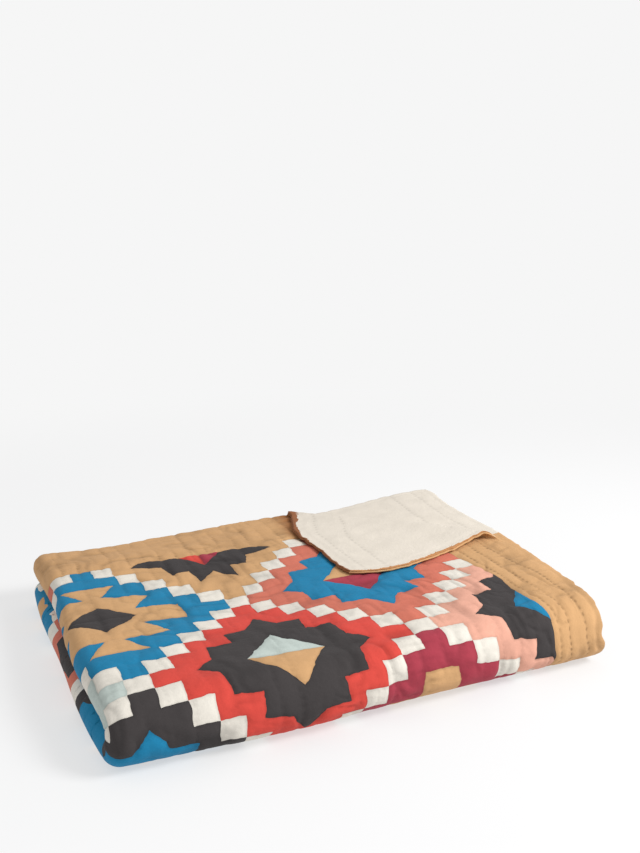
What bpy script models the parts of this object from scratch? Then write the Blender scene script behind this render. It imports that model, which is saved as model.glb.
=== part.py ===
"""A patchwork bedspread folded into a flat bundle, with one corner turned back.

The bedspread is one flat rectangle that is folded four times. Along the sheet, s runs
from the right hem and t from the back hem of the bundle. Both are lengths on the cloth
in metres, and n is the height over the cloth's middle, towards its patterned side.
In the bundle +X is right, +Y is back and +Z is up.
"""

import math

import bmesh
import bpy
import numpy as np
from mathutils import Vector
from mathutils.geometry import delaunay_2d_cdt

# One square patch of the patchwork, from which the other sizes follow
PATCH = 0.028

# The bundle, in patches, without its rounds
FLAT_WIDE = 22.5
FLAT_DEEP = 16.0
LAYERS = 16
BUNDLE_HIGH = 2.75 * PATCH
PITCH = BUNDLE_HIGH / LAYERS

# The cloth's own layers
GAP = 0.0003
BACKING_THICK = 0.0006
CLOTH_THICK = PITCH - 0.0005
TOP_SIDE = CLOTH_THICK / 2
UNDER_SIDE = -CLOTH_THICK / 2
FILLING_SIDE = UNDER_SIDE + BACKING_THICK + GAP
SEAM_SINK = 0.0018
PATCH_PUFF = 0.0008

# The shares of the two rounds over which the quilting fades out, and the length before the turn
FADE_ON_FRONT = 0.35
FADE_ON_LEFT = 0.5
FADE_AT_TURN = 2.0 * PATCH

# How much longer than high the front round is, and how far the hidden folds stay in
FRONT_FLATNESS = 1.1
FOLD_INSET = 0.004

# The turned-back corner: where its fold crosses the two hems, in patches, and its roll there
TURN_ON_BACK_HEM = 9.2
TURN_ON_RIGHT_HEM = 8.8
TURN_RADIUS_BACK = 0.13 * PATCH
TURN_RADIUS_RIGHT = 0.25 * PATCH
TURN_EXTRA_DEGREES = 9.5
TURN_REST = PITCH + 0.0012

# How its flap lies: its shift to the left, its bow and its tip's shift to the front,
# and the pull on the cloth round the roll's right end
TURN_LEAN_LEFT = 1.08 * PATCH
TURN_LEAN_SHARE = 0.4
TURN_BOW_FRONT = 0.58 * PATCH
TURN_TIP_FRONT = 0.3 * PATCH
PULL_LEFT = 1.08 * PATCH
PULL_BACK = 0.47 * PATCH
PULL_BEFORE = 1.5 * PATCH
PULL_LENGTH = 2.0 * PATCH
PULL_SHARE = 0.5
PULL_POWER = 3

# Steps in the mesh
ROUND_STEPS = 6
FRONT_STEPS = 10
INNER_STEPS = 4
COARSE_STEPS = 5
TURN_STEPS = 7
FLAP_STEPS = 4

# Unevenness of the settled bundle: shares of its height, then lengths
RIGHT_RISE = 0.05
CROWN = 0.01
CORNER_RISE = 0.10
MIDDLE_SAG = 0.13
BACK_DROOP = 0.11
FRONT_LEFT_DROOP = 0.16
CORNER_BACK = 0.35 * PATCH
FRONT_RIGHT_IN = 0.97 * PATCH
FRONT_RIGHT_ROUND = 0.3 * PATCH
BACK_LEFT_IN = 0.22 * PATCH
LOWER_LEFT_OUT = 0.32 * PATCH
LOWER_LEFT_ENDS = (0.14, 0.86)
FRONT_OUT = 0.2 * PATCH

# Zones of the bundle, by shares of its flat width and depth: where each one starts and is full
ZONES = {
    "right": ((0.30, 0.0), None),
    "left": ((0.85, 1.0), None),
    "left side": ((0.80, 1.0), None),
    "front": (None, (0.75, 1.0)),
    "back": (None, (0.25, 0.0)),
    "back hem": (None, (0.22, 0.0)),
    "turned corner": ((0.35, 0.0), (0.50, 0.0)),
    "front right": ((0.30, 0.0), (0.45, 1.05)),
    "front right corner": ((0.15, 0.0), (0.85, 1.10)),
    "front left corner": ((0.80, 1.05), (0.80, 1.10)),
    "back left": ((0.75, 1.05), (0.30, 0.0)),
}

# The middles and reaches of two hollows, in the same shares
SAG_PLACE = (0.71, 0.58)
SAG_REACH = (0.17, 0.24)
DROOP_PLACE = 0.80
DROOP_REACH = 0.28

# Waves of the four sides: height, length for a radian, phase, and lag over the bundle's height
WAVES = {
    "left": (0.0030, 0.055, 0.0, 3.0),
    "right": (0.0030, 0.040, 0.0, 9.0),
    "front": (0.0035, 0.070, 1.0, 2.0),
    "back": (0.0030, 0.050, 0.0, 7.0),
}

COLOURS = {
    "patchwork_front": (0.62, 0.35, 0.17),
    "backing": (0.80, 0.76, 0.69),
}


def smooth_step(value):
    value = np.clip(value, 0.0, 1.0)
    return value * value * (3.0 - 2.0 * value)


def bell(distance, width):
    return np.exp(-((distance / width) ** 2))


class Fold:
    """A half turn of a stack of layers, which starts at a length along the stack."""

    def __init__(self, start, half_stack, flatness=1.0):
        self.start = start
        self.half_stack = half_stack
        self.flatness = flatness
        outer = 2.0 * half_stack - PITCH / 2.0
        self.length = math.pi * outer * (1.0 + flatness) / 2.0
        self.end = start + self.length

    def place(self, along, offset):
        """The place along the stack and over its middle of a point on an unfolded stack."""
        turn = np.clip((along - self.start) / self.length, 0.0, 1.0) * math.pi
        radius = self.half_stack + offset
        straight = np.minimum(along, self.start) - np.maximum(along - self.end, 0.0)
        return straight + self.flatness * radius * np.sin(turn), radius * np.cos(turn)

    def stations(self, steps):
        return [self.start + self.length * k / steps for k in range(steps + 1)]


wide = FLAT_WIDE * PATCH
deep = FLAT_DEEP * PATCH
LEFT = Fold(wide, 2.0 * PITCH)
FRONT = Fold(deep, 4.0 * PITCH, FRONT_FLATNESS)
RIGHT = Fold(LEFT.end + wide - 1.5 * PITCH - FOLD_INSET, PITCH)
BACK = Fold(FRONT.end + deep - 0.5 * PITCH - FOLD_INSET, PITCH / 2.0)
SHEET_WIDE = RIGHT.start + RIGHT.end
SHEET_DEEP = BACK.start + BACK.end


class Turn:
    """The corner of the top layer, rolled over a slanting line and laid back down."""

    def __init__(self):
        self.on_back = np.array([TURN_ON_BACK_HEM * PATCH, 0.0])
        self.on_right = np.array([0.0, TURN_ON_RIGHT_HEM * PATCH])
        along = self.on_right - self.on_back
        self.span = float(np.linalg.norm(along))
        self.along = along / self.span
        self.across = np.array([-self.along[1], self.along[0]])
        self.reach = float(-self.across @ self.on_back)
        self.extra = math.radians(TURN_EXTRA_DEGREES)

    def local(self, s, t):
        """The share of the fold line beside a point of the cloth, and how far past it the point is."""
        ds, dt = s - self.on_back[0], t - self.on_back[1]
        share = (ds * self.along[0] + dt * self.along[1]) / self.span
        return share, ds * self.across[0] + dt * self.across[1]

    def radius(self, share):
        return TURN_RADIUS_BACK + (TURN_RADIUS_RIGHT - TURN_RADIUS_BACK) * share

    def lengths(self, radius):
        """The cloth's lengths round the roll, straight down from it, and in easing level."""
        drop = np.maximum(radius * (1.0 + math.cos(self.extra)) - TURN_REST, GAP)
        slope = drop / math.sin(self.extra)
        return radius * (math.pi + self.extra), slope / 2.0, slope

    def profile(self, over, radius):
        """The rolled cloth's place and angle, by its length from where the roll starts."""
        extra = self.extra
        arc, straight, ease = self.lengths(radius)
        bend = np.clip(over, 0.0, arc) / radius
        down = np.clip(over - arc, 0.0, straight)
        eased = np.clip((over - arc - straight) / ease, 0.0, 1.0)
        level = np.maximum(over - arc - straight - ease, 0.0)
        tilt = extra * (1.0 - eased)
        forward = radius * np.sin(bend) - down * math.cos(extra) - level
        forward = forward - ease / extra * (math.sin(extra) - np.sin(tilt))
        height = radius * (1.0 - np.cos(bend)) - down * math.sin(extra)
        height = height - ease / extra * (np.cos(tilt) - math.cos(extra))
        return forward, height, bend - extra * eased

    def place(self, s, t, n):
        """The place on the two hems' axes and the height over the cloth's middle."""
        share, past = self.local(s, t)
        share = np.clip(share, 0.0, 1.0)
        radius = self.radius(share)
        over = past + math.pi / 2.0 * radius
        forward, height, angle = self.profile(over, radius)
        height = height + np.cos(angle) * n
        move = np.where(over > 0.0, forward - np.sin(angle) * n - over, 0.0)
        laid = np.clip(past / self.reach, 0.0, 1.0)
        left = TURN_LEAN_LEFT * smooth_step(laid / TURN_LEAN_SHARE)
        front = TURN_BOW_FRONT * np.sin(math.pi * laid**2) + TURN_TIP_FRONT * smooth_step(laid)
        pull = smooth_step((past + PULL_BEFORE) / PULL_LENGTH) * (1.0 - smooth_step(laid / PULL_SHARE))
        pull = pull * share**PULL_POWER
        new_s = s + self.across[0] * move + left + PULL_LEFT * pull
        new_t = t + self.across[1] * move + front - PULL_BACK * pull
        return new_s, new_t, np.where(over > 0.0, height, n)

    def lines(self):
        """Straight lines on the cloth along the roll and the flap, each by its two ends on the hems."""
        ends = [self.on_back, self.on_right]
        radii = [self.radius(0.0), self.radius(1.0)]
        rows = []
        for k in range(TURN_STEPS + 1):
            angle = (math.pi + self.extra) * k / TURN_STEPS
            rows.append([radius * (angle - math.pi / 2.0) for radius in radii])
        laid = []
        for radius in radii:
            arc, straight, ease = self.lengths(radius)
            laid.append(arc + straight + ease - math.pi / 2.0 * radius)
        rows += [[past + (self.reach - past) * k / FLAP_STEPS for past in laid] for k in range(FLAP_STEPS)]
        lines = []
        for pasts in rows:
            first, last = [end + self.across * past for end, past in zip(ends, pasts)]
            way = last - first
            lines.append((first - way * first[1] / way[1], first - way * first[0] / way[0]))
        return lines


TURN = Turn()
TURN_LINES = TURN.lines()


def fold_sheet(s, t, n):
    """The place in the bundle of points of the sheet, with the hems' corner as origin."""
    corner = (s < wide) & (t < deep)
    turned_s, turned_t, turned_n = TURN.place(s, t, n)
    flat_s = np.where(corner, turned_s, s)
    flat_t = np.where(corner, turned_t, t)
    offset = np.where(corner, turned_n, n)
    deep_1, offset_1 = BACK.place(flat_t, offset)
    wide_1, offset_2 = RIGHT.place(flat_s, offset_1)
    wide_2, offset_3 = LEFT.place(wide_1, offset_2)
    deep_2, height = FRONT.place(deep_1, offset_3)
    return wide_2, deep_2, height + BUNDLE_HIGH / 2.0 - (PITCH - CLOTH_THICK) / 2.0


def zone(name, across, back):
    """How far a place lies inside one of the bundle's zones, from 0 to 1."""
    inside = 1.0
    for place, ends in zip((across / wide, back / deep), ZONES[name]):
        if ends:
            inside = inside * smooth_step((place - ends[0]) / (ends[1] - ends[0]))
    return inside


def wave(name, along, share):
    height, length, phase, lag = WAVES[name]
    return height * np.sin(along / length + phase + lag * share)


def raised(across, back):
    """How much higher or lower the bundle is at a place, as a share of its height."""
    crown = np.sin(math.pi * np.clip(across / wide, 0.0, 1.0))
    up = RIGHT_RISE * zone("right", across, back) + CROWN * crown
    up = up + CORNER_RISE * zone("turned corner", across, back)
    sag = bell(across / wide - SAG_PLACE[0], SAG_REACH[0]) * bell(back / deep - SAG_PLACE[1], SAG_REACH[1])
    droop = bell(across / wide - DROOP_PLACE, DROOP_REACH) * zone("back hem", across, back)
    down = MIDDLE_SAG * sag + BACK_DROOP * droop
    down = down + FRONT_LEFT_DROOP * zone("front left corner", across, back)
    return up - down


LATTICE = [k / COARSE_STEPS for k in range(COARSE_STEPS + 1)]
ACROSS_KNOTS = np.array([wide * share for share in LATTICE] + [wide + BUNDLE_HIGH / 2.0])
BACK_KNOTS = np.array([deep * share for share in LATTICE] + [deep + BUNDLE_HIGH])
KNOT_RAISED = raised(ACROSS_KNOTS[:, None], BACK_KNOTS[None, :])


def cell_share(places, knots):
    """The number of the cell between knots that each place lies in, and how far across it."""
    number = np.clip(np.searchsorted(knots, places) - 1, 0, len(knots) - 2)
    share = (places - knots[number]) / (knots[number + 1] - knots[number])
    return number, np.clip(share, 0.0, 1.0)


def raised_between(across, back):
    """The same as raised at the lines that all layers share, and even between them."""
    i, a = cell_share(across, ACROSS_KNOTS)
    j, b = cell_share(back, BACK_KNOTS)
    near = KNOT_RAISED[i, j] * (1.0 - a) + KNOT_RAISED[i + 1, j] * a
    far = KNOT_RAISED[i, j + 1] * (1.0 - a) + KNOT_RAISED[i + 1, j + 1] * a
    return near * (1.0 - b) + far * b


def settle(across, back, height):
    """The same points on the uneven bundle: +X right and +Y back, hems' corner at 0, 0."""
    share = height / BUNDLE_HIGH
    right, left = zone("right", across, back), zone("left", across, back)
    front, rear = zone("front", across, back), zone("back", across, back)
    crown = np.sin(math.pi * np.clip(across / wide, 0.0, 1.0))
    side = zone("left side", across, back) * np.sin(math.pi * np.clip(back / deep, 0.0, 1.0))
    inward = FRONT_RIGHT_IN * zone("front right", across, back)
    inward = inward + FRONT_RIGHT_ROUND * zone("front right corner", across, back)
    low, high = LOWER_LEFT_ENDS
    outward = LOWER_LEFT_OUT * side * (1.0 - smooth_step((share - low) / (high - low)))
    new_across = across + inward + outward
    new_back = back - CORNER_BACK * zone("turned corner", across, back)
    new_back = new_back + BACK_LEFT_IN * zone("back left", across, back)
    x = -new_across - left * wave("left", new_back, share) + right * wave("right", new_back, share)
    y = -new_back - front * (wave("front", new_across, share) + FRONT_OUT * crown)
    y = y + rear * wave("back", new_across, share)
    return x, y, height * (1.0 + raised_between(across, back))


def mirrored_stations(length, first, second, first_steps, second_steps, flat):
    """Lines across the sheet that lie over each other in every layer of the bundle."""
    share = [k / COARSE_STEPS for k in range(1, COARSE_STEPS)]
    inner = first.end + first.start
    stations = [0.0, length]
    stations += [flat * k for k in share]
    stations += first.stations(first_steps)
    stations += [inner - flat * k for k in share if inner - flat * k < second.start]
    stations += second.stations(second_steps)
    stations += [length - v for v in stations if v < second.start]
    return sorted(set(round(v, 6) for v in stations))


S_LINES = mirrored_stations(SHEET_WIDE, LEFT, RIGHT, ROUND_STEPS, INNER_STEPS, wide)
T_LINES = mirrored_stations(SHEET_DEEP, FRONT, BACK, FRONT_STEPS, INNER_STEPS, deep)


def seams(first, before):
    """The seams between patches from one number on, before a length in metres."""
    return [round(k * PATCH, 6) for k in range(first, math.ceil(before / PATCH))]


class Web:
    """Points and lines on the flat sheet, from which its triangles are made."""

    def __init__(self):
        self.points = []
        self.edges = []
        self.index = {}

    def point(self, s, t):
        key = (round(float(s), 6), round(float(t), 6))
        if key not in self.index:
            self.index[key] = len(self.points)
            self.points.append(Vector(key))
        return self.index[key]

    def line(self, places):
        numbers = [self.point(*place) for place in places]
        self.edges += [pair for pair in zip(numbers, numbers[1:]) if pair[0] != pair[1]]

    def triangles(self):
        points, _, faces, *_ = delaunay_2d_cdt(self.points, self.edges, [], 0, 1e-6)
        flat = np.array([tuple(p) for p in points])
        return flat, [tuple(f) for f in faces]


def hem_places():
    """The points on the back and the right hem that every face of the cloth shares."""
    back = set(S_LINES) | set(seams(1, wide))
    right = set(T_LINES) | set(seams(1, deep))
    for on_back, on_right in TURN_LINES:
        back.add(round(float(on_back[0]), 6))
        right.add(round(float(on_right[1]), 6))
    return sorted(back), sorted(right)


def folded_across(s):
    return LEFT.place(RIGHT.place(s, 0.0)[0], 0.0)[0]


def folded_back(t):
    return FRONT.place(BACK.place(t, 0.0)[0], 0.0)[0]


def cell_diagonals(on_top):
    """A diagonal of each cell of the lattice, the same one in every layer of the bundle."""
    lines = []
    for s, next_s in zip(S_LINES, S_LINES[1:]):
        for t, next_t in zip(T_LINES, T_LINES[1:]):
            if not on_top and next_s < LEFT.end + GAP and next_t < FRONT.end + GAP:
                continue
            if (folded_across(next_s) > folded_across(s)) == (folded_back(next_t) > folded_back(t)):
                lines.append([(s, t), (next_s, next_t)])
            else:
                lines.append([(s, next_t), (next_s, t)])
    return lines


def coarse_web(on_top=True):
    """The sheet in wide steps, with every line along which it bends."""
    web = Web()
    back, right = hem_places()
    web.line([(s, 0.0) for s in back])
    web.line([(0.0, t) for t in right])
    web.line([(s, SHEET_DEEP) for s in S_LINES])
    web.line([(SHEET_WIDE, t) for t in T_LINES])
    for s in S_LINES[1:-1]:
        web.line([(s, t) for t in T_LINES])
    for t in T_LINES[1:-1]:
        web.line([(s, t) for s in S_LINES])
    for line in cell_diagonals(on_top) + TURN_LINES:
        web.line(line)
    return web


def quilted_web():
    """The coarse web with the patches' seams and middles wherever they show."""
    web = coarse_web(on_top=False)
    half = PATCH / 2.0
    for s in seams(0, LEFT.end - half):
        for t in seams(0, FRONT.end - half):
            if TURN.local(s + half, t + half)[1] < -PATCH:
                web.point(s + half, t + half)
            if s > 0.0 and t > 0.0 and TURN.local(s, t)[1] < -half:
                web.point(s, t)
    return web


def relief(flat):
    """How far the patterned side sinks at the seams and stands up between them, where it shows."""
    s, t = flat[:, 0], flat[:, 1]
    _, past = TURN.local(s, t)
    shown = (s < LEFT.end) & (t < FRONT.end) & (s > 0.0) & (t > 0.0) & (past < -PATCH / 2.0)
    off_seam_s = np.abs((s / PATCH + 0.5) % 1.0 - 0.5)
    off_seam_t = np.abs((t / PATCH + 0.5) % 1.0 - 0.5)
    near = np.clip(1.0 - 2.0 * np.minimum(off_seam_s, off_seam_t), 0.0, 1.0)
    off_floor = smooth_step((FRONT.end - t) / (FADE_ON_FRONT * FRONT.length))
    off_crease = smooth_step((LEFT.end - s) / (FADE_ON_LEFT * LEFT.length))
    off_turn = smooth_step((-past - PATCH) / FADE_AT_TURN)
    height = off_floor * off_crease * off_turn * (PATCH_PUFF - (SEAM_SINK + PATCH_PUFF) * near)
    return np.where(shown, height, 0.0)


def boundary_loop(flat, faces):
    """The outer edge of the flat triangles, as a list of points in order."""
    sides = {side for face in faces for side in zip(face, face[1:] + face[:1])}
    follows = {a: b for a, b in sides if (b, a) not in sides}
    start = min(follows, key=lambda k: (flat[k][0] + flat[k][1], k))
    loop = [start]
    while follows[loop[-1]] != start:
        loop.append(follows[loop[-1]])
    return loop


def bundle_points(flat, n):
    return np.stack(settle(*fold_sheet(flat[:, 0], flat[:, 1], n)), axis=1)


def cloth_object(name, top_web, top_n, under_web, under_n):
    """One closed cloth between two webs, whose hems are joined by a strip."""
    top_flat, top_faces = top_web.triangles()
    under_flat, under_faces = under_web.triangles()
    top = bundle_points(top_flat, top_n(top_flat))
    under = bundle_points(under_flat, under_n(under_flat))
    top_loop = boundary_loop(top_flat, top_faces)
    under_loop = boundary_loop(under_flat, under_faces)
    if len(top_loop) != len(under_loop):
        raise ValueError(f"the hems of {name} don't match: {len(top_loop)} and {len(under_loop)}")
    shift = len(top)
    faces = list(top_faces)
    faces += [tuple(shift + k for k in reversed(face)) for face in under_faces]
    count = len(top_loop)
    for k in range(count):
        a, b = top_loop[k], top_loop[(k + 1) % count]
        c, d = shift + under_loop[(k + 1) % count], shift + under_loop[k]
        faces.append((b, a, d, c))
    mesh = bpy.data.meshes.new(name)
    mesh.from_pydata(np.concatenate([top, under]).tolist(), [], faces)
    work = bmesh.new()
    work.from_mesh(mesh)
    bmesh.ops.recalc_face_normals(work, faces=work.faces)
    bmesh.ops.triangulate(work, faces=work.faces)
    work.to_mesh(mesh)
    work.free()
    obj = bpy.data.objects.new(name, mesh)
    bpy.context.scene.collection.objects.link(obj)
    return obj


def cloth_material(name):
    material = bpy.data.materials.new(name)
    material.use_nodes = True
    shader = material.node_tree.nodes["Principled BSDF"]
    shader.inputs["Base Color"].default_value = (*COLOURS[name], 1.0)
    shader.inputs["Roughness"].default_value = 0.9
    shader.inputs["Metallic"].default_value = 0.0
    return material


def stand_on_origin(objects):
    """Moves the points so that the middle of the bundle's underside is the origin."""
    points = np.concatenate([[v.co[:] for v in o.data.vertices] for o in objects])
    low, high = points.min(axis=0), points.max(axis=0)
    move = Vector((-(low[0] + high[0]) / 2.0, -(low[1] + high[1]) / 2.0, -low[2]))
    for obj in objects:
        for vertex in obj.data.vertices:
            vertex.co += move


def main():
    for obj in list(bpy.data.objects):
        bpy.data.objects.remove(obj, do_unlink=True)
    front = cloth_object(
        "patchwork_front",
        quilted_web(),
        lambda flat: TOP_SIDE + relief(flat),
        coarse_web(),
        lambda flat: np.full(len(flat), FILLING_SIDE),
    )
    backing = cloth_object(
        "backing",
        coarse_web(),
        lambda flat: np.full(len(flat), FILLING_SIDE - GAP),
        coarse_web(),
        lambda flat: np.full(len(flat), UNDER_SIDE),
    )
    stand_on_origin([front, backing])
    for obj in (front, backing):
        obj.data.materials.append(cloth_material(obj.name))
        obj.data.shade_smooth()


main()
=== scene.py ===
import math

import bpy
import numpy as np
from mathutils import Matrix, Vector
from mathutils.geometry import delaunay_2d_cdt
from mathutils.kdtree import KDTree


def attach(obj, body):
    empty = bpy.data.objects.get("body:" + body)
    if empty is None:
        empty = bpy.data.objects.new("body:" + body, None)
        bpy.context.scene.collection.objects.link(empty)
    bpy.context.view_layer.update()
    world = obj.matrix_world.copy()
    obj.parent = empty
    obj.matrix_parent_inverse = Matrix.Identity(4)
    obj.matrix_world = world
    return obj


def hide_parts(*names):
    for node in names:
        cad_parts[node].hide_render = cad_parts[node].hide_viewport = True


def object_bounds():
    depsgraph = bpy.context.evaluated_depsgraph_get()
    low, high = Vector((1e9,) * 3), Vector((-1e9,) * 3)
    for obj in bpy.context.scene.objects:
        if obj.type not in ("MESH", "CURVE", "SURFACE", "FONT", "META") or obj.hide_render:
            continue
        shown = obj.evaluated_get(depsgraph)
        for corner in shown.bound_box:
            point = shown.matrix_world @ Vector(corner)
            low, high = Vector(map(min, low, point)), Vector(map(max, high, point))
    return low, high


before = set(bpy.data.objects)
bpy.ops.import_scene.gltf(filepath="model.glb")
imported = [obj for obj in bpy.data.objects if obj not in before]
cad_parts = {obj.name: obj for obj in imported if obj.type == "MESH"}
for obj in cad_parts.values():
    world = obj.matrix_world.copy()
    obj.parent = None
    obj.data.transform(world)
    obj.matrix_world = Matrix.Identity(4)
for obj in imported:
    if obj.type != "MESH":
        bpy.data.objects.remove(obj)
CAD_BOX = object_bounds()

# The bundle's sizes, in metres, the same as those of its solids.
# On the flat sheet s runs from the right hem and t from the back hem.
PATCH = 0.028
FLAT_WIDE = 22.5
FLAT_DEEP = 16.0
LAYERS = 16
BUNDLE_HIGH = 2.75 * PATCH
PITCH = BUNDLE_HIGH / LAYERS
GAP = 0.0003
CLOTH_THICK = PITCH - 0.0005
TOP_SIDE = CLOTH_THICK / 2
UNDER_SIDE = -CLOTH_THICK / 2
FRONT_FLATNESS = 1.1
FOLD_INSET = 0.004
TURN_ON_BACK_HEM = 9.2
TURN_ON_RIGHT_HEM = 8.8
TURN_RADIUS_BACK = 0.13 * PATCH
TURN_RADIUS_RIGHT = 0.25 * PATCH
TURN_EXTRA_DEGREES = 9.5
TURN_REST = PITCH + 0.0012

# How its flap lies: its shift to the left, its bow and its tip's shift to the front,
# and the pull on the cloth round the roll's right end
TURN_LEAN_LEFT = 1.08 * PATCH
TURN_LEAN_SHARE = 0.4
TURN_BOW_FRONT = 0.58 * PATCH
TURN_TIP_FRONT = 0.3 * PATCH
PULL_LEFT = 1.08 * PATCH
PULL_BACK = 0.47 * PATCH
PULL_BEFORE = 1.5 * PATCH
PULL_LENGTH = 2.0 * PATCH
PULL_SHARE = 0.5
PULL_POWER = 3

# Unevenness of the settled bundle: shares of its height, then lengths, and the heights between
# which the lower left side stands out
RIGHT_RISE = 0.05
CROWN = 0.01
CORNER_RISE = 0.10
MIDDLE_SAG = 0.13
BACK_DROOP = 0.11
FRONT_LEFT_DROOP = 0.16
CORNER_BACK = 0.35 * PATCH
FRONT_RIGHT_IN = 0.97 * PATCH
FRONT_RIGHT_ROUND = 0.3 * PATCH
BACK_LEFT_IN = 0.22 * PATCH
LOWER_LEFT_OUT = 0.32 * PATCH
FRONT_OUT = 0.2 * PATCH
LOWER_LEFT_ENDS = (0.14, 0.86)

# Zones of the bundle, by shares of its flat width and depth: where each one starts and is full
ZONES = {
    "right": ((0.30, 0.0), None),
    "left": ((0.85, 1.0), None),
    "left side": ((0.80, 1.0), None),
    "front": (None, (0.75, 1.0)),
    "back": (None, (0.25, 0.0)),
    "back hem": (None, (0.22, 0.0)),
    "turned corner": ((0.35, 0.0), (0.50, 0.0)),
    "front right": ((0.30, 0.0), (0.45, 1.05)),
    "front right corner": ((0.15, 0.0), (0.85, 1.10)),
    "front left corner": ((0.80, 1.05), (0.80, 1.10)),
    "back left": ((0.75, 1.05), (0.30, 0.0)),
}

# The middles and reaches of two hollows, in the same shares
SAG_PLACE = (0.71, 0.58)
SAG_REACH = (0.17, 0.24)
DROOP_PLACE = 0.80
DROOP_REACH = 0.28

# Waves of the four sides: height, length for a radian, phase, and lag over the bundle's height
WAVES = {
    "left": (0.0030, 0.055, 0.0, 3.0),
    "right": (0.0030, 0.040, 0.0, 9.0),
    "front": (0.0035, 0.070, 1.0, 2.0),
    "back": (0.0030, 0.050, 0.0, 7.0),
}

# How many steps the hidden folds have, then the hems' step and rows that show in the stack
ROUND_STEPS = 6
FRONT_STEPS = 10
INNER_STEPS = 4
COARSE_STEPS = 16
HEM_STEP = 0.25
HEM_ROWS = (0.06, 0.2, 0.4, 0.7)

# The patterned side over the middle of the cloth, and the hidden faces between the two fabrics
FRONT_INNER_SIDE = -0.00065
BACKING_INNER_SIDE = -0.0010
FRONT_RIM = 0.0013
FRONT_RIM_ROWS = 4
BACKING_RIM = 0.0003
BACKING_RIM_ROWS = 1

# The patchwork, in patches
BORDER = 4.0
DIAMOND_STEP = 6
FIRST_COLUMN = 15.5
FIRST_ROW = -9.5
REPEAT_COLUMNS = 8
REPEAT_ROWS = 4
MEDALLION_REACH = 5.0
COLUMNS_ON_SHEET = range(-14, 4)
ROWS_ON_SHEET = range(-2, 12)

# How the patchwork lies off its even grid: everywhere but at the hems, at bent seams (place, reach,
# move to the left), at the right border, at the front, and on the lower of the two left rounds
PATTERN_SHIFT = (0.08, -0.13)
SHIFT_FROM = 1.0
SHIFT_REACH = 3.0
SEAM_BENDS = (
    (6.0, 12.8, 1.2, -0.15),
    (8.0, 15.0, 1.6, -0.22),
    (12.0, 12.0, 1.6, 0.20),
    (15.5, 8.0, 1.5, -0.25),
    (11.0, 17.0, 1.5, 0.17),
    (22.0, 17.0, 1.5, 0.17),
)
BORDER_BEND = -0.75
BORDER_BEND_REACH = 3.3
BORDER_BEND_FROM = 8.5
BORDER_BEND_LENGTH = 4.5
FRONT_SHIFT = 0.38
FRONT_SHIFT_PLACE = (5.0, 17.0)
FRONT_SHIFT_REACH = 3.0
SKEW = -1.2
SKEW_PLACE = 24.0
SKEW_FROM = 21.0
SKEW_REACH = 8.0
SKEW_LENGTH = 5.0

# Dyes as the sRGB values of the lit cloth
DYES = {
    "ochre": (205, 161, 114),
    "blue": (32, 126, 168),
    "red": (212, 76, 66),
    "terracotta": (206, 116, 96),
    "pink": (229, 170, 148),
    "burgundy": (166, 62, 76),
    "charcoal": (66, 62, 62),
    "cream": (227, 221, 210),
    "sage": (190, 201, 195),
}
DYE_NAMES = list(DYES)
BACKING_DYE = (222, 213, 200)
CLOTH_GAIN = 0.93
PATCH_TONE = 0.035
PATCH_SEED = 51

# One row for each diamond: its column and row number in the repeat, its ground, its medallion's
# dye and form, how its eye is parted, and the eye's two dyes (left or back first)
DIAMONDS = (
    (0, 1, "red", "charcoal", "star", "across", "sage", "ochre"),
    (0, 3, "ochre", "charcoal", "wings", "along", "red", "burgundy"),
    (1, 0, "terracotta", "blue", "star", "across", "ochre", "burgundy"),
    (1, 2, "burgundy", "ochre", "block", "across", "charcoal", "charcoal"),
    (2, 1, "pink", "charcoal", "star", "across", "blue", "blue"),
    (2, 3, "blue", "ochre", "cross", "across", "charcoal", "charcoal"),
    (3, 0, "blue", "ochre", "cross", "across", "charcoal", "charcoal"),
    (3, 2, "charcoal", "blue", "star", "across", "ochre", "cream"),
    (4, 1, "red", "charcoal", "star", "across", "sage", "ochre"),
    (4, 3, "ochre", "charcoal", "wings", "along", "red", "burgundy"),
    (5, 0, "terracotta", "blue", "star", "across", "ochre", "burgundy"),
    (5, 2, "burgundy", "ochre", "block", "across", "charcoal", "charcoal"),
    (6, 1, "sage", "terracotta", "star", "across", "cream", "charcoal"),
    (6, 3, "terracotta", "charcoal", "star", "along", "red", "burgundy"),
    (7, 0, "blue", "ochre", "cross", "across", "charcoal", "charcoal"),
    (7, 2, "charcoal", "blue", "star", "across", "ochre", "cream"),
)
DIAMOND_ROWS = {diamond[:2]: diamond[2:] for diamond in DIAMONDS}

# A quarter of each medallion's outline, and its eye's half widths across and along
MEDALLIONS = {
    "star": {
        "quarter": (
            (3.7, 0.0), (2.9, 0.6), (2.75, 1.7), (1.65, 1.75), (1.75, 2.7), (0.7, 2.85), (0.0, 3.85),
        ),
        "eye": (1.65, 1.8),
    },
    "wings": {
        "quarter": (
            (2.6, 0.0), (3.6, 0.95), (2.2, 1.3), (1.9, 2.25), (1.05, 2.15), (0.95, 3.4), (0.0, 2.5),
        ),
        "eye": (1.5, 1.7),
    },
    "block": {
        "quarter": ((3.6, 0.8), (2.1, 0.9), (2.1, 2.1), (0.9, 2.1), (0.8, 2.9), (0.7, 3.6)),
        "eye": (1.5, 1.3),
    },
    "cross": {
        "quarter": ((3.5, 0.7), (1.6, 0.75), (2.4, 2.0), (0.4, 2.3), (1.2, 3.45)),
        "eye": (1.5, 1.3),
    },
}

# How the sheet's hems draw in, in patches: at the quilting lines, in a ripple and at the corners
QUILT_PULL = 0.035
QUILT_PULL_WIDTH = 0.14
QUILT_PULL_REACH = 0.8
RIPPLE = 0.012
RIPPLE_STEP = 0.62
RIPPLE_LAG = ((2.0, 3.0, 2.0, 12),)
RIPPLE_REACH = 0.5
CORNER_PULL = 0.09
CORNER_PULL_REACH = 0.22

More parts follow.
